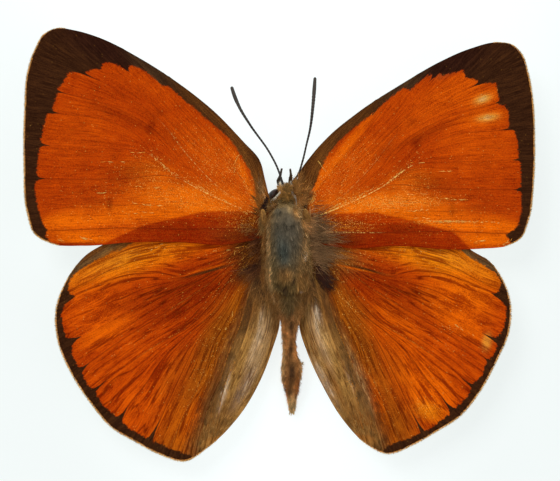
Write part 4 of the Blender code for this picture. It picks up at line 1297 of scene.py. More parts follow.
# Loose scales, tinted pale gold as painted glints, in pixels of the left wing: (x, y, along, across,
# turn, heading, size in mm, number)
FOREWING_FLAKES = [
    (216, 196, 52, 0.9, 29, 150, 0.07, 90), (165, 167, 18, 2.2, 42, 140, 0.055, 50),
    (190, 196, 48, 13, 5, 175, 0.036, 260), (212, 160, 44, 16, 40, 140, 0.034, 160),
    (112, 162, 8, 0.3, 0, 180, 0.3, 3), (101, 193, 9, 0.3, 0, 180, 0.34, 4),
    (140, 152.5, 8, 0.3, 0, 180, 0.25, 4), (146, 187, 12, 0.5, 3, 178, 0.25, 4),
    (150, 205, 18, 1.0, 3, 172, 0.25, 7), (144, 213, 12, 0.8, 0, 180, 0.22, 4),
    (86, 239, 6, 1.2, 8, 165, 0.28, 6), (60, 240, 8, 2.0, 20, 150, 0.2, 6),
    (235, 168, 10, 9, 50, 115, 0.05, 22), (250, 221, 14, 8, 0, 170, 0.035, 36),
    (140, 150, 12, 12, 0, 150, 0.04, 24), (237, 158, 7, 0.4, -60, 60, 0.16, 8),
    (247, 190, 20, 2.5, 70, 110, 0.04, 50), (95, 175, 60, 60, 0, 175, 0.03, 70),
]
HINDWING_FLAKES = [
    (244, 250, 20, 16, 0, 200, 0.03, 50), (222, 288, 40, 5, -45, 225, 0.04, 40),
    (215, 250, 16, 2.0, -25, 205, 0.05, 22), (232, 315, 1, 3, 0, 250, 0.12, 4),
    (225, 330, 1, 2, 0, 230, 0.12, 2), (150, 320, 60, 40, 0, 215, 0.03, 50),
    (170, 245, 50, 8, -18, 200, 0.034, 60), (226, 386, 3, 7, 20, 250, 0.06, 14),
    (130, 345, 30, 4, -30, 215, 0.04, 20), (252, 270, 10, 14, 0, 240, 0.04, 8),
    (208, 370, 8, 50, 22, 245, 0.04, 60), (155, 248, 12, 0.8, -30, 210, 0.14, 6),
]

# Loose scales of one wing, tinted as painted glints, in its own pixels
EXTRA_FLAKES = {
    "right_forewing": [
        (454, 221.5, 32, 0.9, 1, 178, 0.1, 150), (400, 203, 46, 7, 0, 170, 0.04, 260),
        (336, 206, 12, 1.0, -27, 27, 0.1, 40), (355, 222, 24, 4, 4, 5, 0.04, 70),
        (306, 190, 8, 8, 0, 60, 0.05, 30), (312, 199, 2.5, 6, 30, 60, 0.12, 30),
        (440, 198, 22, 0.7, 6, 175, 0.09, 18), (482, 98, 6, 2.5, -18, 160, 0.07, 16),
        (488, 117, 8, 1.8, -8, 170, 0.07, 16),
    ],
    "right_hindwing": [
        (348, 260, 24, 14, 20, -20, 0.035, 70), (460, 328, 12, 1.0, 30, -32, 0.12, 12),
        (447, 330, 12, 6, 30, -30, 0.05, 24), (430, 255, 50, 12, 12, 170, 0.034, 60),
        (337, 244.5, 12, 0.3, 0, 180, 0.4, 6), (345, 300, 26, 1.2, 48, -48, 0.07, 30),
    ],
    "left_hindwing": [(236, 248, 12, 0.3, -14, 194, 0.3, 4)],
    "left_forewing": [(254, 228, 3, 6, 0, 60, 0.1, 8)],
}


def build_flakes(wing, partner):
    """Scattered loose scales strewn over the wing's grid, tinted pale gold as painted glints."""
    hind = "fold" in wing
    random = np.random.default_rng(31 + 2 * hind + int(partner is wing))
    matrix = fitted_map(landmarks(partner), landmarks(wing))
    mirror = -1.0 if partner is not wing else 1.0
    outline = to_photo(wing_outline(wing, 0.1)[0][::20])
    parts = []
    shared = [(row, matrix, mirror) for row in (HINDWING_FLAKES if hind else FOREWING_FLAKES)]
    own = [(row, np.array([(1.0, 0.0), (0.0, 1.0), (0.0, 0.0)]), 1.0) for row in EXTRA_FLAKES[wing["name"]]]
    for (x, y, along, across, turn, degrees, size, count), matrix, mirror in shared + own:
        spot = mapped(matrix, scattered(random, x, y, along, across, turn, count))
        spot = spot[inside_polygon(spot, outline)]
        count = len(spot)
        flat = from_photo(spot)
        z = wing_height(flat, wing) + random.uniform(-0.01, 0.03, count)
        way = np.radians(degrees + random.normal(0.0, 12.0, count))
        heading = np.stack([mirror * np.cos(way), np.sin(way), random.normal(0.0, 0.08, count)], axis=1)
        # Painted glints: pale gold tints of the loose scales
        colour = blended(linear(250, 148, 30), linear(255, 216, 112), random.random((count, 1)))
        parts.append(flakes(np.c_[flat, z], heading, size * random.uniform(0.5, 1.3, count), colour))
    coat(f"{wing['name']}_loose_scales", joined(parts), tinted("loose_scales", 0.6))


def body_rings(sections, rings, sides, shrink, lumps=0.0, floor=None, groove=0.0):
    """Elliptic rings along y. Lumps move the skin by a few percent; a groove narrows it at each segment."""
    section = smooth_curve(sections, np.linspace(0.0, 1.0, rings))
    y, x, z, half_width, half_height = (column[:, None] for column in section.T)
    turn = np.linspace(0.0, 2 * np.pi, sides, endpoint=False)[None, :]
    swell = shrink + lumps * np.sin(3.0 * turn + 2.1 * y) * np.sin(2.0 * turn - 3.3 * y)
    if groove:
        nearest = (y - y[0] + SEGMENT_LENGTH / 2) % SEGMENT_LENGTH - SEGMENT_LENGTH / 2
        swell = swell * (1.0 - groove * np.exp(-((nearest / GROOVE_WIDTH) ** 2)))
    height = z + half_height * swell * np.sin(turn)
    if floor is not None:
        height = np.maximum(height, floor)
    return np.stack([x + half_width * swell * np.cos(turn), y + 0 * turn, height], axis=2)


def body_skin(name, sections, node, washes, slot, material, context, **shape):
    """A closed loft a little inside the solid that it stands for, tinted by washes seen from above."""
    colours = context.scene.specimen_colours
    rings = body_rings(sections, **shape)
    skin = lofted(rings, rings[0].mean(axis=0), rings[-1].mean(axis=0))
    tint = washed(colours.brown, to_photo(skin[0][:, :2]), washes, colours) * SKIN_SHADE
    coat(name, (*skin, tint), material, (node,))


def hairs_on(sections, count, random, span, shrink):
    """Random roots on a loft with the outward direction there: the ellipse's normal, upper half favoured."""
    along = random.uniform(*span, count)
    section = smooth_curve(sections, along)
    y, x, z, half_width, half_height = section.T
    turn = random.uniform(0.0, 2 * np.pi, count)
    turn = np.where((np.sin(turn) < -0.2) & (random.random(count) < 0.6), -turn, turn)
    across, up = shrink * half_width * np.cos(turn), shrink * half_height * np.sin(turn)
    root = np.stack([x + across, y, z + up], axis=1)
    outward = unit(np.stack([np.cos(turn) / half_width, 0 * y, np.sin(turn) / half_height], axis=1))
    return root, outward, turn


def spread_colours(tint, random, spread=0.3):
    return tint * random.uniform(1.0 - spread, 1.0 + spread, (len(tint), 1))


def gathered(root, bend, random, clumps, pull=0.6):
    """Draws hairs together in clumps: each joins the nearest of some chosen roots, its tip moves towards that
    root's, and the clump shares one brightness."""
    chosen = root[random.integers(0, len(root), clumps)]
    away = (root**2).sum(1)[:, None] - 2.0 * root @ chosen.T + (chosen**2).sum(1)[None]
    nearest = away.argmin(axis=1)
    return bend + pull * (chosen[nearest] - root), random.uniform(0.5, 1.55, (clumps, 1))[nearest]


def build_thorax(context):
    """The thorax: a lumpy skin, and short hair laid back over it."""
    colours, fur = context.scene.specimen_colours, context.scene.specimen_fur
    skin = tinted("grey_fur_skin", 0.85, 14.0, 0.05)
    shape = {"rings": 60, "sides": 64, "shrink": 0.94, "lumps": 0.015, "floor": 0.0}
    body_skin("thorax_skin", THORAX_SECTIONS, "thorax", BODY_WASHES, "grey_fur", skin, context, **shape)
    random = np.random.default_rng(11)
    count = fur.thorax_hairs
    kind = FUR["thorax"]
    root, outward, turn = hairs_on(THORAX_SECTIONS, count, random, kind["span"], kind["depth"])
    root[:, 2] = np.maximum(root[:, 2], 0.06)
    back = np.stack([0.25 * np.cos(turn), -np.ones(count), 0 * turn], axis=1)
    swirl = random.normal(0.0, 0.28, (count, 3))
    heading = unit(back + swirl) + outward * random.uniform(0.16, 0.42, (count, 1))
    length = random.uniform(*kind["length"], count)
    tint = washed(colours.brown, to_photo(root[:, :2]), BODY_WASHES, colours)
    below = root[:, 2:] < 1.6
    belly = linear(*BELLY_SCREEN)
    ends = to_photo((root + unit(heading) * length[:, None])[:, :2])
    tip = np.where(below, belly, washed(colours.brown, ends, BODY_WASHES, colours))
    tint = np.where(below, belly, tint)
    tip = spread_colours(tip, random, 0.7) * 1.2
    bend = -outward * random.uniform(0.02, 0.14, (count, 1))
    bend, shade = gathered(root, bend, random, kind["clumps"])
    heading[:, 2] = np.where(root[:, 2] < 0.5, np.abs(heading[:, 2]), heading[:, 2])
    radius = fur.thickness / MM * random.uniform(*kind["radius"], count)
    # Painted highlights: a few thicker, paler hairs that catch the light
    highlight_hair = random.random(count) < HIGHLIGHT_HAIR_SHARE
    radius = np.where(highlight_hair, 1.8 * radius, radius)
    tip = np.where(highlight_hair[:, None], 1.9 * tip, tip * shade)
    dark = spread_colours(tint, random) * 0.48 * shade
    part = strands(root, heading, length, radius, bend, dark, tip)
    part[0][:, 2] = np.maximum(part[0][:, 2], HAIR_FLOOR)
    coat("thorax_hair", part, tinted("grey_fur", 0.65, 30.0))


# Tufts, in pixels: (x, y, along, across, turn, heading, fan, rise, length, number, root colour, tip colour).
# Headings are in degrees, 0 to the right and 90 ahead; rise is the climb for each unit ahead.
TUFTS = {
    "flank_hair": [
        (264, 250, 2.5, 34, 3, -94, 12, 0.08, 1.0, 420, "umber", "ochre"),
        (267, 284, 2.0, 14, -8, -84, 12, 0.1, 1.2, 240, "bark", "ochre"),
        (268, 290, 3.0, 12, -14, -80, 12, 0.02, 1.2, 420, "bark", "ochre"),
        (275, 306, 3.0, 10, -18, -72, 14, 0.1, 1.0, 240, "bark", "ochre"),
        (280, 300, 4.0, 12, -8, -84, 20, 0.16, 1.0, 420, "bark", "ochre"),
        (289, 302, 6.0, 10, 0, -92, 22, 0.16, 0.9, 420, "bark", "olive"),
        (297, 300, 4.0, 12, 8, -98, 22, 0.16, 1.0, 380, "bark", "ochre"),
        (283, 313, 4.0, 8, -8, -86, 22, 0.2, 0.8, 260, "bark", "fawn"),
        (295, 313, 4.0, 8, 8, -96, 22, 0.2, 0.8, 260, "bark", "fawn"),
        (274, 296, 3.0, 8, -20, -78, 18, 0.05, 1.1, 360, "bark", "ochre"),
        (275.5, 204, 3.2, 3.4, 0, 200, 50, 0.1, 0.5, 420, "bark", "ochre"),
        (294.5, 204, 2.2, 3.0, 0, -40, 40, 0.15, 0.5, 260, "umber", "ochre"),
        (295, 189, 2.0, 6.0, -10, 30, 40, 0.1, 0.5, 420, "umber", "brown"),
        (296, 185, 2.0, 5.0, -20, 60, 40, 0.05, 0.5, 300, "umber", "brown"),
        (311, 284, 3.0, 12, 8, -100, 14, 0.04, 1.2, 360, "bark", "ochre"),
        (307, 270, 3.0, 20, 8, -98, 16, 0.1, 1.0, 320, "bark", "ochre"),
        (303, 298, 4.0, 9, 20, -104, 14, 0.04, 1.2, 360, "bark", "ochre"),
        (299, 307, 3.0, 10, 14, -106, 14, 0.1, 1.0, 240, "bark", "ochre"),
        (306, 238, 3.0, 22, 6, -100, 16, 0.1, 0.9, 380, "ochre", "sand"),
        (263, 222, 3.0, 14, 0, -104, 20, 0.1, 0.8, 320, "olive", "ochre"),
        (271, 207, 3.5, 3.5, 0, 200, 40, 0.1, 0.6, 320, "bark", "ochre"),
        (284, 205, 13, 3.0, 0, -90, 40, 0.4, 0.5, 520, "olive", "sand"),
        (284, 202, 14, 2.5, 0, 90, 50, 0.5, 0.4, 420, "bark", "olive"),
        (276, 291, 2.5, 5, 0, -88, 20, 0.15, 0.9, 260, "bark", "ochre"),
        (285, 289, 2.4, 3.4, 0, -90, 20, 0.5, 0.4, 240, "soot", "soot"),
        (277, 287, 2.0, 1.8, 0, -90, 30, 0.6, 0.3, 140, "soot", "teal"),
        (293, 281, 1.5, 5, 25, -90, 15, 0.5, 0.35, 160, "soot", "bark"),
        (271, 284, 1.4, 18, -12, -80, 8, 0.3, 0.8, 200, "ochre", "sand"),
        (290.5, 206, 1.8, 4.5, 0, -90, 25, 0.5, 0.3, 200, "olive", "sand"),
        (303.5, 206, 3.0, 4.5, 0, -60, 30, 0.2, 0.4, 240, "soot", "bark"),
        # Painted shade: near-black hair in the shadow by the left eye
        (265.5, 207, 2.6, 6, 10, 230, 30, 0.2, 0.4, 240, "soot", "plum"),
        # Painted highlight: pale tips where light catches the thorax hair
        (305, 256, 2.2, 4, 0, -80, 60, 0.4, 0.25, 70, "sand", "silver"),
        (277, 226, 3, 9, 0, -90, 30, 0.5, 0.3, 140, "bark", "teal"),
        (294, 262, 3, 10, 0, -90, 30, 0.4, 0.35, 140, "soot", "bark"),
        (268.5, 254, 1.2, 32, 3, -92, 8, 0.12, 0.8, 200, "ochre", "sand"),
        # Painted shade: near-black hair in the shadow by the left eye
        (265.5, 203, 2.2, 7, 20, 250, 15, 0.1, 0.5, 200, "soot", "soot"),
        (306.5, 246, 1.6, 34, -8, -96, 10, 0.12, 0.9, 200, "ochre", "sand"),
        (297, 210, 3.5, 6.0, 0, -70, 30, 0.3, 0.6, 320, "ochre", "sand"),
        (301, 201, 4.0, 4.0, 0, -30, 40, 0.15, 0.7, 320, "umber", "ochre"),
    ],
    "root_hair": [
        (257, 246, 6.0, 12, 0, 195, 34, 0.02, 0.9, 200, "plum", "umber"),
        (253, 268, 8.0, 3, -24, 205, 14, 0.03, 1.5, 110, "plum", "umber"),
        (262, 266, 3.0, 20, 0, 220, 25, 0.05, 0.7, 260, "plum", "umber"),
        (256, 272, 6.0, 8, 0, 228, 14, 0.03, 1.6, 160, "bark", "umber"),
        (258, 284, 5.0, 12, 0, 244, 14, 0.04, 1.5, 150, "bark", "ochre"),
        (263, 294, 3.0, 12, 0, 256, 12, 0.04, 1.2, 110, "bark", "ochre"),
        (248, 228, 9, 6.0, 0, 184, 24, 0.02, 0.7, 80, "umber", "ochre"),
        (318, 268, 5.0, 8, 0, -30, 24, 0.02, 1.2, 200, "plum", "bark"),
        (322, 278, 6.0, 8, 0, -48, 16, 0.03, 1.5, 260, "plum", "bark"),
        (312, 290, 4.0, 12, 0, -66, 14, 0.04, 1.4, 150, "bark", "ochre"),
        (299, 186, 3.0, 12, 15, 70, 25, 0.05, 0.8, 220, "umber", "ochre"),
        (306, 196, 6.0, 10, 10, 50, 25, 0.03, 0.8, 220, "umber", "ochre"),
        (262, 190, 3.0, 14, -8, 108, 14, 0.03, 0.7, 120, "ochre", "haze"),
    ],
    "smoky_hair": [
        (312, 236, 4.0, 24, 0, 0, 22, 0.1, 1.3, 420, "haze", "smoke"),
        (316, 238, 7.0, 28, 0, 2, 18, 0.06, 1.9, 340, "smoke", "haze"),
        (319, 243, 7.0, 18, 0, -3, 14, 0.05, 2.7, 150, "smoke", "haze"),
        (316, 256, 5.0, 12, 0, -14, 20, 0.06, 1.7, 300, "haze", "smoke"),
        (305, 222, 4.0, 10, 0, -40, 24, 0.12, 1.2, 220, "ochre", "haze"),
    ],
}


def ground(flat):
    """Height of what lies under a place seen from above: the body's ellipse, or else the wings."""
    y, x, z, half_width, half_height = smooth_curve(
        HEAD_SECTIONS + THORAX_SECTIONS + ABDOMEN_SECTIONS, np.linspace(0.0, 1.0, 500)).T
    order = np.argsort(y)
    at = [np.interp(flat[:, 1], y[order], column[order]) for column in (x, z, half_width, half_height)]
    across = np.clip(1.0 - ((flat[:, 0] - at[0]) / at[2]) ** 2, 0.0, None)
    on_body = (across > 0) & (flat[:, 1] < 5.0) & (flat[:, 1] > -14.0)
    body = np.where(on_body, at[1] + 0.9 * at[3] * np.sqrt(across), 0.0)
    level = np.where(flat[:, 1] > 0.1, FOREWING_LEVEL, HINDWING_LEVEL)
    wing = level + WING_RISE * np.abs(flat[:, 0] - MIDLINE)
    return np.maximum(body, wing)


def build_tufts(name, context):
    """Longer hair in tufts, each a cloud of roots with hairs that fan out about the tuft's heading."""
    colours, fur = context.scene.specimen_colours, context.scene.specimen_fur
    random = np.random.default_rng(len(name) * 13)
    parts = []
    for x, y, along, across, turn, degrees, fan, rise, size, count, root_name, tip_name in TUFTS[name]:
        flat = from_photo(scattered(random, x, y, along, across, turn, count))
        root = np.c_[flat, ground(flat) + random.uniform(-0.05, 0.06, count)]
        way = np.radians(degrees + random.normal(0.0, fan, count))
        heading = np.stack([np.cos(way), np.sin(way), rise * random.uniform(0.4, 1.6, count)], axis=1)
        length = size * random.uniform(*FUR["tufts"]["length"], count)
        bend = random.normal(0.0, 0.16, (count, 3)) * length[:, None] * (1.0, 1.0, 0.2)
        end = root + unit(heading) * length[:, None] + bend
        bend[:, 2] += np.maximum(ground(end[:, :2]) + 0.03 - end[:, 2], 0.0)
        bend[:, 2] -= np.maximum(end[:, 2] - HAIR_CEILING, 0.0)
        radius = fur.thickness / MM * random.uniform(*FUR["tufts"]["radius"], count)
        bend, shade = gathered(root, bend, random, max(count // TUFT_CLUMP, 1), 0.5)
        root_colour = spread_colours(np.tile(getattr(colours, root_name), (count, 1)), random, 0.35) * shade
        tip_colour = spread_colours(np.tile(getattr(colours, tip_name), (count, 1)), random, 0.35) * shade
        # Painted highlights: a few thicker, paler hairs that catch the light
        highlight_hair = random.random(count) < HIGHLIGHT_HAIR_SHARE
        radius = np.where(highlight_hair, 1.7 * radius, radius)
        tip_colour = np.where(highlight_hair[:, None], 2.0 * tip_colour + 0.02, tip_colour)
        parts.append(strands(root, heading, length, radius, bend, root_colour, tip_colour))
    coat(name, joined(parts), tinted("long_hair", 0.6, 30.0))


def build_inner_hair(wing, partner, context):
    """Fine hair on the hindwing's grey inner part, lying along the veins."""
    colours, fur = context.scene.specimen_colours, context.scene.specimen_fur
    random = np.random.default_rng(57 + int(partner is wing))
    veins = wing.get("veins") or matched_veins(wing, partner)
    surface = wing_surface(wing, veins, 0.1)
    count = INNER_HAIRS
    kind = FUR["inner"]
    u = GREY_STRIPS[0] + 2.65 * random.random(count) ** 0.8
    t = 0.12 + 0.83 * random.random(count) ** 0.9
    column = np.clip(np.searchsorted(surface["u"], u), 1, len(surface["u"]) - 1)
    row = (t * (WING_ROWS - 1)).astype(int)
    flat = surface["flat"][column, row]
    ahead = surface["flat"][column, np.minimum(row + 6, WING_ROWS - 1)] - flat + 1e-6
    z = wing_height(flat, wing)
    way = np.arctan2(ahead[:, 1], ahead[:, 0]) + random.normal(0.0, 0.12, count)
    length = random.uniform(*kind["length"], count) * (1.1 - 0.5 * t)
    root = np.c_[flat, z - 0.02]
    heading = np.stack([np.cos(way), np.sin(way), random.uniform(0.0, 0.1, count)], axis=1)
    end = root + unit(heading) * length[:, None]
    sink = wing_height(end, wing) + 0.02 - end[:, 2]
    bend = np.c_[np.zeros((count, 2)), sink]
    grey = washed(colours.ash, at_home(wing, partner, to_photo(flat)), INNER_HAIR_WASHES, colours)
    grey = np.where((u < 8.9)[:, None], colours.bronze, grey)
    radius = fur.thickness / MM * random.uniform(*kind["radius"], count)
    bend, shade = gathered(root, bend, random, kind["clumps"], 0.4)
    dark = spread_colours(grey, random, 0.4) * 0.8 * shade
    part = strands(root, heading, length, radius, bend, dark, spread_colours(grey, random, 0.4) * 1.1 * shade)
    coat(f"{wing['name']}_hair", part, tinted("long_hair", 0.6, 30.0))


def build_abdomen(context):
    """The abdomen: a grooved skin, hair laid back over it, longer at its base, and a forked tail end."""
    colours, fur = context.scene.specimen_colours, context.scene.specimen_fur
    skin = tinted("abdomen_skin", 0.7, 16.0, 0.04)
    shape = {"rings": 110, "sides": 48, "shrink": 0.92, "lumps": 0.01, "groove": 0.1}
    sections = WAIST + ABDOMEN_SECTIONS
    body_skin("abdomen_rings", sections, "abdomen", ABDOMEN_WASHES, "abdomen_skin", skin, context, **shape)
    random = np.random.default_rng(23)
    count = fur.abdomen_hairs
    kind = FUR["abdomen"]
    root, outward, _ = hairs_on(ABDOMEN_SECTIONS, count, random, kind["span"], kind["depth"])
    base = smooth_step(root[:, 1], -7.0, -4.2)
    heading = random.normal(0.0, 0.32, (count, 3)) - (0.0, 1.0, 0.0) + outward * (0.42 + 0.2 * base)[:, None]
    length = random.uniform(*kind["length"], count) + 0.4 * base * random.random(count)
    middle = to_photo((root + 0.5 * unit(heading) * length[:, None])[:, :2])
    tint = washed(colours.fawn, middle, ABDOMEN_WASHES, colours)
    low = smooth_step(root[:, 2:], 1.2, 0.7)
    tint = blended(tint, linear(206, 176, 132), low)
    radius = fur.thickness / MM * random.uniform(*kind["radius"], count)
    bend, shade = gathered(root, -outward * 0.04, random, kind["clumps"])
    tail = 0.75 + 0.25 * smooth_step(root[:, 1], -14.0, -13.0)
    dark = spread_colours(tint, random) * 0.7 * shade
    light = spread_colours(tint, random, 0.45) * 1.15 * shade
    part = strands(root, heading, length * tail, radius, bend, dark, light)
    spikes = TAIL_SPIKES
    straight = np.zeros((spikes, 3))
    start = np.tile((1.03, -14.0, 0.85), (spikes, 1)) + random.normal(0.0, 0.07, (spikes, 3))
    fork = np.where(random.random(spikes) < 0.5, -0.35, 0.3)
    sideways = fork + random.normal(0.0, 0.12, spikes)
    way = np.stack([sideways, -np.ones(spikes), random.normal(-0.05, 0.1, spikes)], axis=1)
    pale = np.tile(linear(*TAIL_SCREEN), (spikes, 1))
    length = random.uniform(0.3, 0.55, spikes)
    end = strands(start, way, length, np.full(spikes, 0.03), straight, pale * 0.7, pale)
    side = np.tile((1.75, -10.05, 1.6), (spikes, 1)) + random.normal(0.0, 0.08, (spikes, 3))
    ahead = random.normal(-0.2, 0.5, spikes)
    way = np.stack([np.ones(spikes), ahead, random.normal(0.1, 0.2, spikes)], axis=1)
    length = random.uniform(0.1, 0.28, spikes)
    tuft = strands(side, way, length, np.full(spikes, 0.02), straight, pale * 0.4, pale * 0.8)
    coat("abdomen_hair", joined([part, end, tuft]), tinted("abdomen_hair", 0.6, 30.0))


def build_head(context):
    """The head: a brown skin with short hair that stands up in front and lies back behind."""
    colours, fur = context.scene.specimen_colours, context.scene.specimen_fur
    skin = tinted("brown_fur_skin", 0.85, 16.0, 0.04)
    shape = {"rings": 30, "sides": 40, "shrink": 0.72, "lumps": 0.02}
    body_skin("head_skin", HEAD_SECTIONS + NECK, "head", HEAD_WASHES, "brown_fur", skin, context, **shape)
    random = np.random.default_rng(5)
    count = fur.head_hairs
    kind = FUR["head"]
    root, outward, _ = hairs_on(HEAD_SECTIONS, count, random, kind["span"], kind["depth"])
    forward = smooth_step(root[:, 1], 4.0, 4.9)
    lean = np.stack([0 * forward, 1.4 * forward - 0.5, 0 * forward], axis=1)
    heading = lean + outward * 0.8 + random.normal(0.0, 0.35, (count, 3))
    length = random.uniform(*kind["length"], count)
    keep = np.ones(count, bool)
    for sign in (-1, 1):
        along, ahead = eye_frame(root, sign)
        keep &= ~((ahead > -0.36) & (np.abs(along) < 0.62))
    tint = washed(colours.brown, to_photo(root[:, :2]), HEAD_WASHES, colours)
    dot = np.zeros(count, bool)
    for x, y in ANTENNA_DOTS:
        dot |= np.hypot(root[:, 0] - x, root[:, 1] - y) < DOT_RADIUS
    tint = np.where(dot[:, None], linear(226, 216, 196), tint)
    radius = fur.thickness / MM * random.uniform(*kind["radius"], count)
    bend, shade = gathered(root, random.normal(0.0, 0.03, (count, 3)), random, kind["clumps"])
    parts = (root, heading, length, radius, bend, spread_colours(tint, random) * 0.6 * shade,
             spread_colours(tint, random, 0.5) * 1.2 * shade)
    coat("head_hair", strands(*(part[keep] for part in parts)), tinted("brown_fur", 0.65, 30.0))


def eye_frame(points, sign):
    """Distances along an eye's long axis and outwards across it, seen from above."""
    right, ahead = points[:, 0] - EYE_PLACE[0] - sign * EYE_OFFSET, points[:, 1] - EYE_PLACE[1]
    return turned(right, ahead, sign * EYE_TURN)


def ellipsoid(place, radii, turn, rings=40, sides=56):
    """Rings of an ellipsoid from its lowest point upwards, turned about z: the radii scale a unit sphere."""
    rise = np.linspace(-np.pi / 2, np.pi / 2, rings + 2)[1:-1][:, None]
    angle = np.linspace(0.0, 2 * np.pi, sides, endpoint=False)[None, :]
    x = radii[0] * np.cos(rise) * np.cos(angle)
    y = radii[1] * np.cos(rise) * np.sin(angle)
    z = radii[2] * np.sin(rise) + 0 * angle
    rings = np.stack([*turned(x, y, turn), z], axis=2) + place
    low, high = np.array(place) - (0, 0, radii[2]), np.array(place) + (0, 0, radii[2])
    return lofted(rings, low, high)


def build_eyes():
    """Both compound eyes, each with a rim of short white scales on the side towards the head."""
    finish = cached("eye_facets", eye_material)
    random = np.random.default_rng(3)
    parts = []
    for side, sign in (("left", -1), ("right", 1)):
        place = (EYE_PLACE[0] + sign * EYE_OFFSET, EYE_PLACE[1], EYE_PLACE[2])
        turn = -sign * EYE_TURN
        radii = tuple(radius - 0.01 for radius in EYE_RADII)
        points, quads, triangles = ellipsoid(place, radii, turn)
        make_piece(f"{side}_eye_facets", points, quads, triangles, [finish], {}, (f"{side}_eye",))
        count = EYE_RIM_HAIRS
        angle = random.uniform(0.0, np.pi, count)
        arc = EYE_RADII[0] * np.cos(angle)
        across = -0.15 - 0.1 * np.sin(angle) - random.uniform(0.0, 0.17, count)
        root = np.stack([*turned(arc, across, turn), 0.56 + 0.25 * np.sin(angle)], axis=1) + place
        heading = np.array((*turned(1.0, 0.0, turn), 0.3)) + random.normal(0.0, 0.2, (count, 3))
        white = spread_colours(np.tile(linear(255, 252, 240), (count, 1)), random, 0.1)
        length, radius, bend = random.uniform(0.1, 0.18, count), np.full(count, 0.026), np.zeros((count, 3))
        parts.append(strands(root, heading, length, radius, bend, white, white, rings=2))
    coat("eye_rims", joined(parts), tinted("eye_rim", 0.5, 30.0))


def build_antennae():
    """Feelers: thin tubes ringed by joints, dark with a pale ring at each joint, thicker in a dark club."""
    finish = tinted("feeler", 0.5, 40.0, 0.01)
    for side, knots in ANTENNAE.items():
        share = np.linspace(0.0, 1.0, 420)
        curve = smooth_curve(knots, share)
        step = share * 34.0 % 1.0
        joint = np.exp(-(((step - 0.5) / 0.16) ** 2))
        radius = curve[:, 3] * (1.12 - 0.08 * smooth_step(share, 0.6, 0.9) - 0.1 * joint * (share < 0.86))
        tip = np.clip((1.0 - share) / 0.016, 0.0, 1.0)
        radius *= np.sqrt(1.0 - 0.98 * (1.0 - tip) ** 2)
        pale = (0.16 * joint * smooth_step(share, 0.9, 0.7) + 0.12 * smooth_step(share, 0.6, 0.85))[:, None]
        tint = blended(linear(42, 34, 32), linear(150, 140, 126), pale)
        skin = closed_tube(curve[:, :3], radius, LIMB_SIDES)
        coat(f"{side}_feeler", (*skin, ringed(tint)), finish, (f"{side}_antenna",))


def hairs_along(knots, count, random, lean, length, radius, colours, span=(0.0, 1.0)):
    """Short hairs all round a tube, leaning on towards its end."""
    at = random.uniform(*span, count)
    curve = smooth_curve(knots, at)
    before, after = (smooth_curve(knots, np.clip(at + step, 0.0, 1.0))[:, :3] for step in (-0.02, 0.02))
    ahead = unit(after - before)
    turn = random.uniform(0.0, 2 * np.pi, count)[:, None]
    side = unit(np.cross((0.0, 0.0, 1.0), ahead) + 1e-9)
    out = side * np.cos(turn) + np.cross(ahead, side) * np.sin(turn)
    root = curve[:, :3] + out * curve[:, 3:] * 0.7
    heading = ahead * lean + out
    size = length * random.uniform(0.5, 1.0, count)
    low, high = (spread_colours(np.tile(colour, (count, 1)), random, 0.3) for colour in colours)
    part = strands(root, heading, size, np.full(count, radius), np.zeros((count, 3)), low, high, rings=2)
    part[0][:, 2] = np.maximum(part[0][:, 2], 0.004)
    return part


def build_palps():
    """Palps: slim tapering cores under dense hair, dark above."""
    core = tinted("palp_core", 0.7)
    hair = tinted("brown_fur", 0.65, 30.0)
    random = np.random.default_rng(17)
    for side, knots in PALPS.items():
        share = np.linspace(0.0, 1.0, 60)
        curve = smooth_curve(knots, share)
        radius = 0.72 * curve[:, 3] * np.sqrt(smooth_step(share, -0.02, 0.12) * smooth_step(share, 1.01, 0.9))
        skin = closed_tube(curve[:, :3], radius, 16)
        tint = np.tile(linear(52, 38, 28), (len(skin[0]), 1))
        coat(f"{side}_palp_core", (*skin, tint), core, (f"{side}_palp",))
        dark, light = linear(44, 32, 24), linear(104, 84, 62)
        part = hairs_along(knots, PALP_HAIRS, random, 2.2, 0.16, 0.013, (dark, light), (0.0, 0.97))
        coat(f"{side}_palp_hair", part, hair)


def build_proboscis():
    """The rolled-up tongue: a ringed tube on a spiral whose radius shrinks evenly with the angle."""
    turn = np.linspace(0.0, 2 * np.pi * PROBOSCIS_TURNS, 300)
    inner, outer = PROBOSCIS_RADII
    radius = outer + (inner - outer) * turn / turn[-1]
    x, y, z = PROBOSCIS_CENTRE
    path = np.stack([x + 0 * turn, y + radius * np.cos(turn), z + radius * np.sin(turn)], axis=1)
    share = turn / turn[-1]
    thick = PROBOSCIS_TUBE * (1.0 - 0.4 * share) * (1.0 + 0.05 * np.sin(turn * 22.0))
    skin = closed_tube(path, thick, 12, (1.0, 0.0, 0.0))
    tint = np.tile(linear(86, 52, 28), (len(skin[0]), 1))
    coat("rolled_tongue", (*skin, tint), tinted("feeler", 0.5, 40.0, 0.01), ("proboscis",))


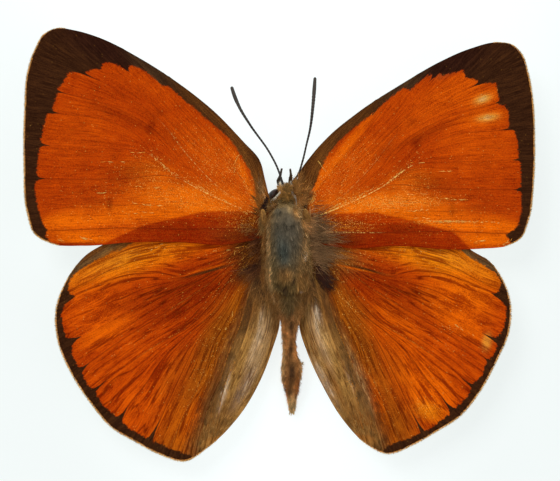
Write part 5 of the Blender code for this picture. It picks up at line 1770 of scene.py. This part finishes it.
def build_tegulae(context):
    """The small shields over the forewing hinges, under hair that lies back along them."""
    colours = context.scene.specimen_colours
    skin = tinted("tegula_shell", 0.6)
    random = np.random.default_rng(29)
    parts = []
    for side, (x, y, z, degrees) in TEGULA_PLACES.items():
        turn = math.radians(degrees)
        radii = tuple(0.85 * radius for radius in TEGULA_RADII)
        points, quads, triangles = ellipsoid((x, y, z), radii, turn, 24, 32)
        part = points, quads, triangles, np.tile(colours.brown, (len(points), 1))
        coat(f"{side}_tegula_shell", part, skin, (f"{side}_tegula",))
        count = TEGULA_HAIRS
        place = random.uniform(0, len(points), count).astype(int)
        out = unit(points[place] - (x, y, z - 0.05))
        heading = out * 0.35 + np.array((0.0, -1.0, 0.0)) + random.normal(0.0, 0.25, (count, 3))
        sandy = np.tile(colours.ochre, (count, 1))
        length, radius = random.uniform(0.15, 0.35, count), np.full(count, 0.015)
        dark, light = spread_colours(sandy, random) * 0.5, spread_colours(sandy, random, 0.5)
        parts.append(strands(points[place], heading, length, radius, -out * 0.03, dark, light))
    coat("tegula_hair", joined(parts), tinted("brown_fur", 0.65, 30.0))


def build_legs():
    """Legs: jointed tubes, waisted where one part meets the next, with pale scales and two claws."""
    finish = tinted("leg_shell", 0.6, 24.0)
    random = np.random.default_rng(41)
    parts = []
    for leg, outline in LEGS.items():
        for side, sign in (("left", -1), ("right", 1)):
            knots = [(MIDLINE + sign * x, y, z, radius) for x, y, z, radius in outline]
            share = np.linspace(0.0, 1.0, 200)
            curve = smooth_curve(knots, share)
            waist = sum(np.exp(-(((share - place) / 0.012) ** 2)) for place in LEG_JOINTS)
            closing = np.sqrt(smooth_step(share, -0.01, 0.03) * smooth_step(share, 1.005, 0.975))
            radius = curve[:, 3] * (0.85 - 0.2 * waist) * closing
            skin = closed_tube(curve[:, :3], radius, LIMB_SIDES, floor=0.003)
            brown = smooth_step(share, 0.55, 0.8)[:, None]
            tint = blended(linear(196, 178, 148), linear(150, 112, 70), brown)
            name = f"{side}_{leg}"
            coat(f"{name}_shell", (*skin, ringed(tint)), finish, (name,))
            scales = linear(*BELLY_SCREEN), linear(214, 200, 172)
            parts.append(hairs_along(knots, LEG_HAIRS, random, 2.5, 0.12, 0.012, scales))
            ahead = unit(curve[-1:, :3] - curve[-8:-7, :3])
            claws = np.repeat(ahead, 2, axis=0) + np.array([(0.5, 0, 0), (-0.5, 0, 0)])
            dark = np.tile(linear(60, 40, 24), (2, 1))
            root = np.repeat(curve[-3:-2, :3], 2, axis=0)
            droop = np.tile((0, 0, -0.03), (2, 1))
            parts.append(strands(root, claws, np.full(2, 0.14), np.full(2, 0.022), droop, dark, dark))
    part = joined(parts)
    part[0][:, 2] = np.maximum(part[0][:, 2], SCALE_FLOOR)
    coat("leg_hair", part, tinted("leg_scales", 0.6, 30.0))


def look_down(obj, place, target):
    """Puts a lamp or camera at a place, facing a target."""
    way = Vector(target) - Vector(place)
    obj.location = place
    obj.rotation_euler = way.to_track_quat("-Z", "Y").to_euler()


def build_stage(context):
    """The floor, the light and a camera straight above the specimen, framed like the photograph."""
    stage = context.scene.specimen_stage
    scene = context.scene
    half, drop = 0.4, 0.00001
    mesh = bpy.data.meshes.new("floor")
    corners = [(-half, -half, -drop), (half, -half, -drop), (half, half, -drop), (-half, half, -drop)]
    mesh.from_pydata(corners, [], [(0, 1, 2, 3)])
    mesh.materials.append(floor_material(stage.floor))
    floor = bpy.data.objects.new("floor", mesh)
    scene.collection.objects.link(floor)
    floor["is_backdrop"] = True
    camera = bpy.data.cameras.new("camera")
    camera.sensor_width = 36.0
    camera.lens = camera.sensor_width * stage.distance / stage.width
    camera.clip_start = 0.001
    camera.clip_end = 10.0
    middle = from_photo([(280.0, 240.5)])[0] * MM
    eye = bpy.data.objects.new("camera", camera)
    eye.location = (middle[0], middle[1], 3.5 * MM + stage.distance)
    scene.collection.objects.link(eye)
    scene.camera = eye
    for name, place, size, power in (
        ("key", (-0.16, 0.22, 0.34), 0.22, stage.light),
        ("fill", (0.26, -0.12, 0.36), 0.4, 0.4 * stage.light),
    ):
        lamp = bpy.data.lights.new(name, "AREA")
        lamp.size = size
        lamp.energy = power
        lantern = bpy.data.objects.new(name, lamp)
        look_down(lantern, place, (0.0, 0.0, 0.0))
        scene.collection.objects.link(lantern)
    world = bpy.data.worlds.new("studio")
    world.use_nodes = True
    world.node_tree.nodes["Background"].inputs[0].default_value = (1.0, 1.0, 1.0, 1.0)
    world.node_tree.nodes["Background"].inputs[1].default_value = 0.6
    scene.world = world
    scene.view_settings.view_transform = "Standard"


class SPECIMEN_OT_forewings(bpy.types.Operator):
    """Build both forewings' membranes"""

    bl_idname = "specimen.forewings"
    bl_label = "Forewings"

    def execute(self, context):
        build_wing(LEFT_FOREWING, LEFT_FOREWING, context)
        build_wing(RIGHT_FOREWING, LEFT_FOREWING, context)
        return {"FINISHED"}


class SPECIMEN_OT_hindwings(bpy.types.Operator):
    """Build both hindwings' membranes"""

    bl_idname = "specimen.hindwings"
    bl_label = "Hindwings"

    def execute(self, context):
        build_wing(LEFT_HINDWING, LEFT_HINDWING, context)
        build_wing(RIGHT_HINDWING, LEFT_HINDWING, context)
        return {"FINISHED"}


class SPECIMEN_OT_wing_trim(bpy.types.Operator):
    """Add the fringes, the loose scales and the hair of the inner edges"""

    bl_idname = "specimen.wing_trim"
    bl_label = "Wing trim"

    def execute(self, context):
        for wing in (LEFT_FOREWING, RIGHT_FOREWING, LEFT_HINDWING, RIGHT_HINDWING):
            build_fringe(wing, context)
        for wing, partner in ((LEFT_FOREWING, LEFT_FOREWING), (RIGHT_FOREWING, LEFT_FOREWING)):
            build_flakes(wing, partner)
        for wing, partner in ((LEFT_HINDWING, LEFT_HINDWING), (RIGHT_HINDWING, LEFT_HINDWING)):
            build_flakes(wing, partner)
            build_inner_hair(wing, partner, context)
        return {"FINISHED"}


class SPECIMEN_OT_thorax(bpy.types.Operator):
    """Build the thorax and the tufts around it"""

    bl_idname = "specimen.thorax"
    bl_label = "Thorax"

    def execute(self, context):
        build_thorax(context)
        build_tufts("flank_hair", context)
        build_tufts("root_hair", context)
        build_tufts("smoky_hair", context)
        build_tegulae(context)
        return {"FINISHED"}


class SPECIMEN_OT_abdomen(bpy.types.Operator):
    """Build the abdomen"""

    bl_idname = "specimen.abdomen"
    bl_label = "Abdomen"

    def execute(self, context):
        build_abdomen(context)
        return {"FINISHED"}


class SPECIMEN_OT_head(bpy.types.Operator):
    """Build the head with its eyes, feelers, palps and tongue"""

    bl_idname = "specimen.head"
    bl_label = "Head"

    def execute(self, context):
        build_head(context)
        build_eyes()
        build_antennae()
        build_palps()
        build_proboscis()
        return {"FINISHED"}


class SPECIMEN_OT_legs(bpy.types.Operator):
    """Build the six legs"""

    bl_idname = "specimen.legs"
    bl_label = "Legs"

    def execute(self, context):
        build_legs()
        return {"FINISHED"}


class SPECIMEN_OT_stage(bpy.types.Operator):
    """Build the floor, the lights and the camera"""

    bl_idname = "specimen.stage"
    bl_label = "Stage"

    def execute(self, context):
        build_stage(context)
        return {"FINISHED"}


OPERATORS = (
    SPECIMEN_OT_forewings, SPECIMEN_OT_hindwings, SPECIMEN_OT_wing_trim, SPECIMEN_OT_thorax,
    SPECIMEN_OT_abdomen, SPECIMEN_OT_head, SPECIMEN_OT_legs, SPECIMEN_OT_stage,
)
SETTINGS = {
    "specimen_colours": SpecimenColours,
    "specimen_wings": WingSettings,
    "specimen_fur": FurSettings,
    "specimen_stage": StageSettings,
}


class SPECIMEN_PT_sidebar(bpy.types.Panel):
    """Settings and build steps of the specimen"""

    bl_idname = "SPECIMEN_PT_sidebar"
    bl_label = "Butterfly Specimen"
    bl_space_type = "VIEW_3D"
    bl_region_type = "UI"
    bl_category = "Specimen"

    def draw(self, context):
        layout = self.layout
        for pointer, group in SETTINGS.items():
            box = layout.box()
            for name in group.__annotations__:
                box.prop(getattr(context.scene, pointer), name)
        for operator in OPERATORS:
            layout.operator(operator.bl_idname)


def register():
    for cls in (*SETTINGS.values(), *OPERATORS, SPECIMEN_PT_sidebar):
        bpy.utils.register_class(cls)
    for pointer, group in SETTINGS.items():
        setattr(bpy.types.Scene, pointer, PointerProperty(type=group))


def unregister():
    for pointer in SETTINGS:
        delattr(bpy.types.Scene, pointer)
    for cls in (SPECIMEN_PT_sidebar, *reversed(OPERATORS), *reversed(SETTINGS.values())):
        bpy.utils.unregister_class(cls)


def main():
    solid_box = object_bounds()
    register()
    bpy.ops.specimen.forewings()
    bpy.ops.specimen.hindwings()
    bpy.ops.specimen.wing_trim()
    bpy.ops.specimen.thorax()
    bpy.ops.specimen.abdomen()
    bpy.ops.specimen.head()
    bpy.ops.specimen.legs()
    bpy.ops.specimen.stage()
    boxes = {"solids": solid_box, "scene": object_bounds()}
    boxes = {name: [list(corner) for corner in box] for name, box in boxes.items()}


if __name__ == "__main__":
    main()
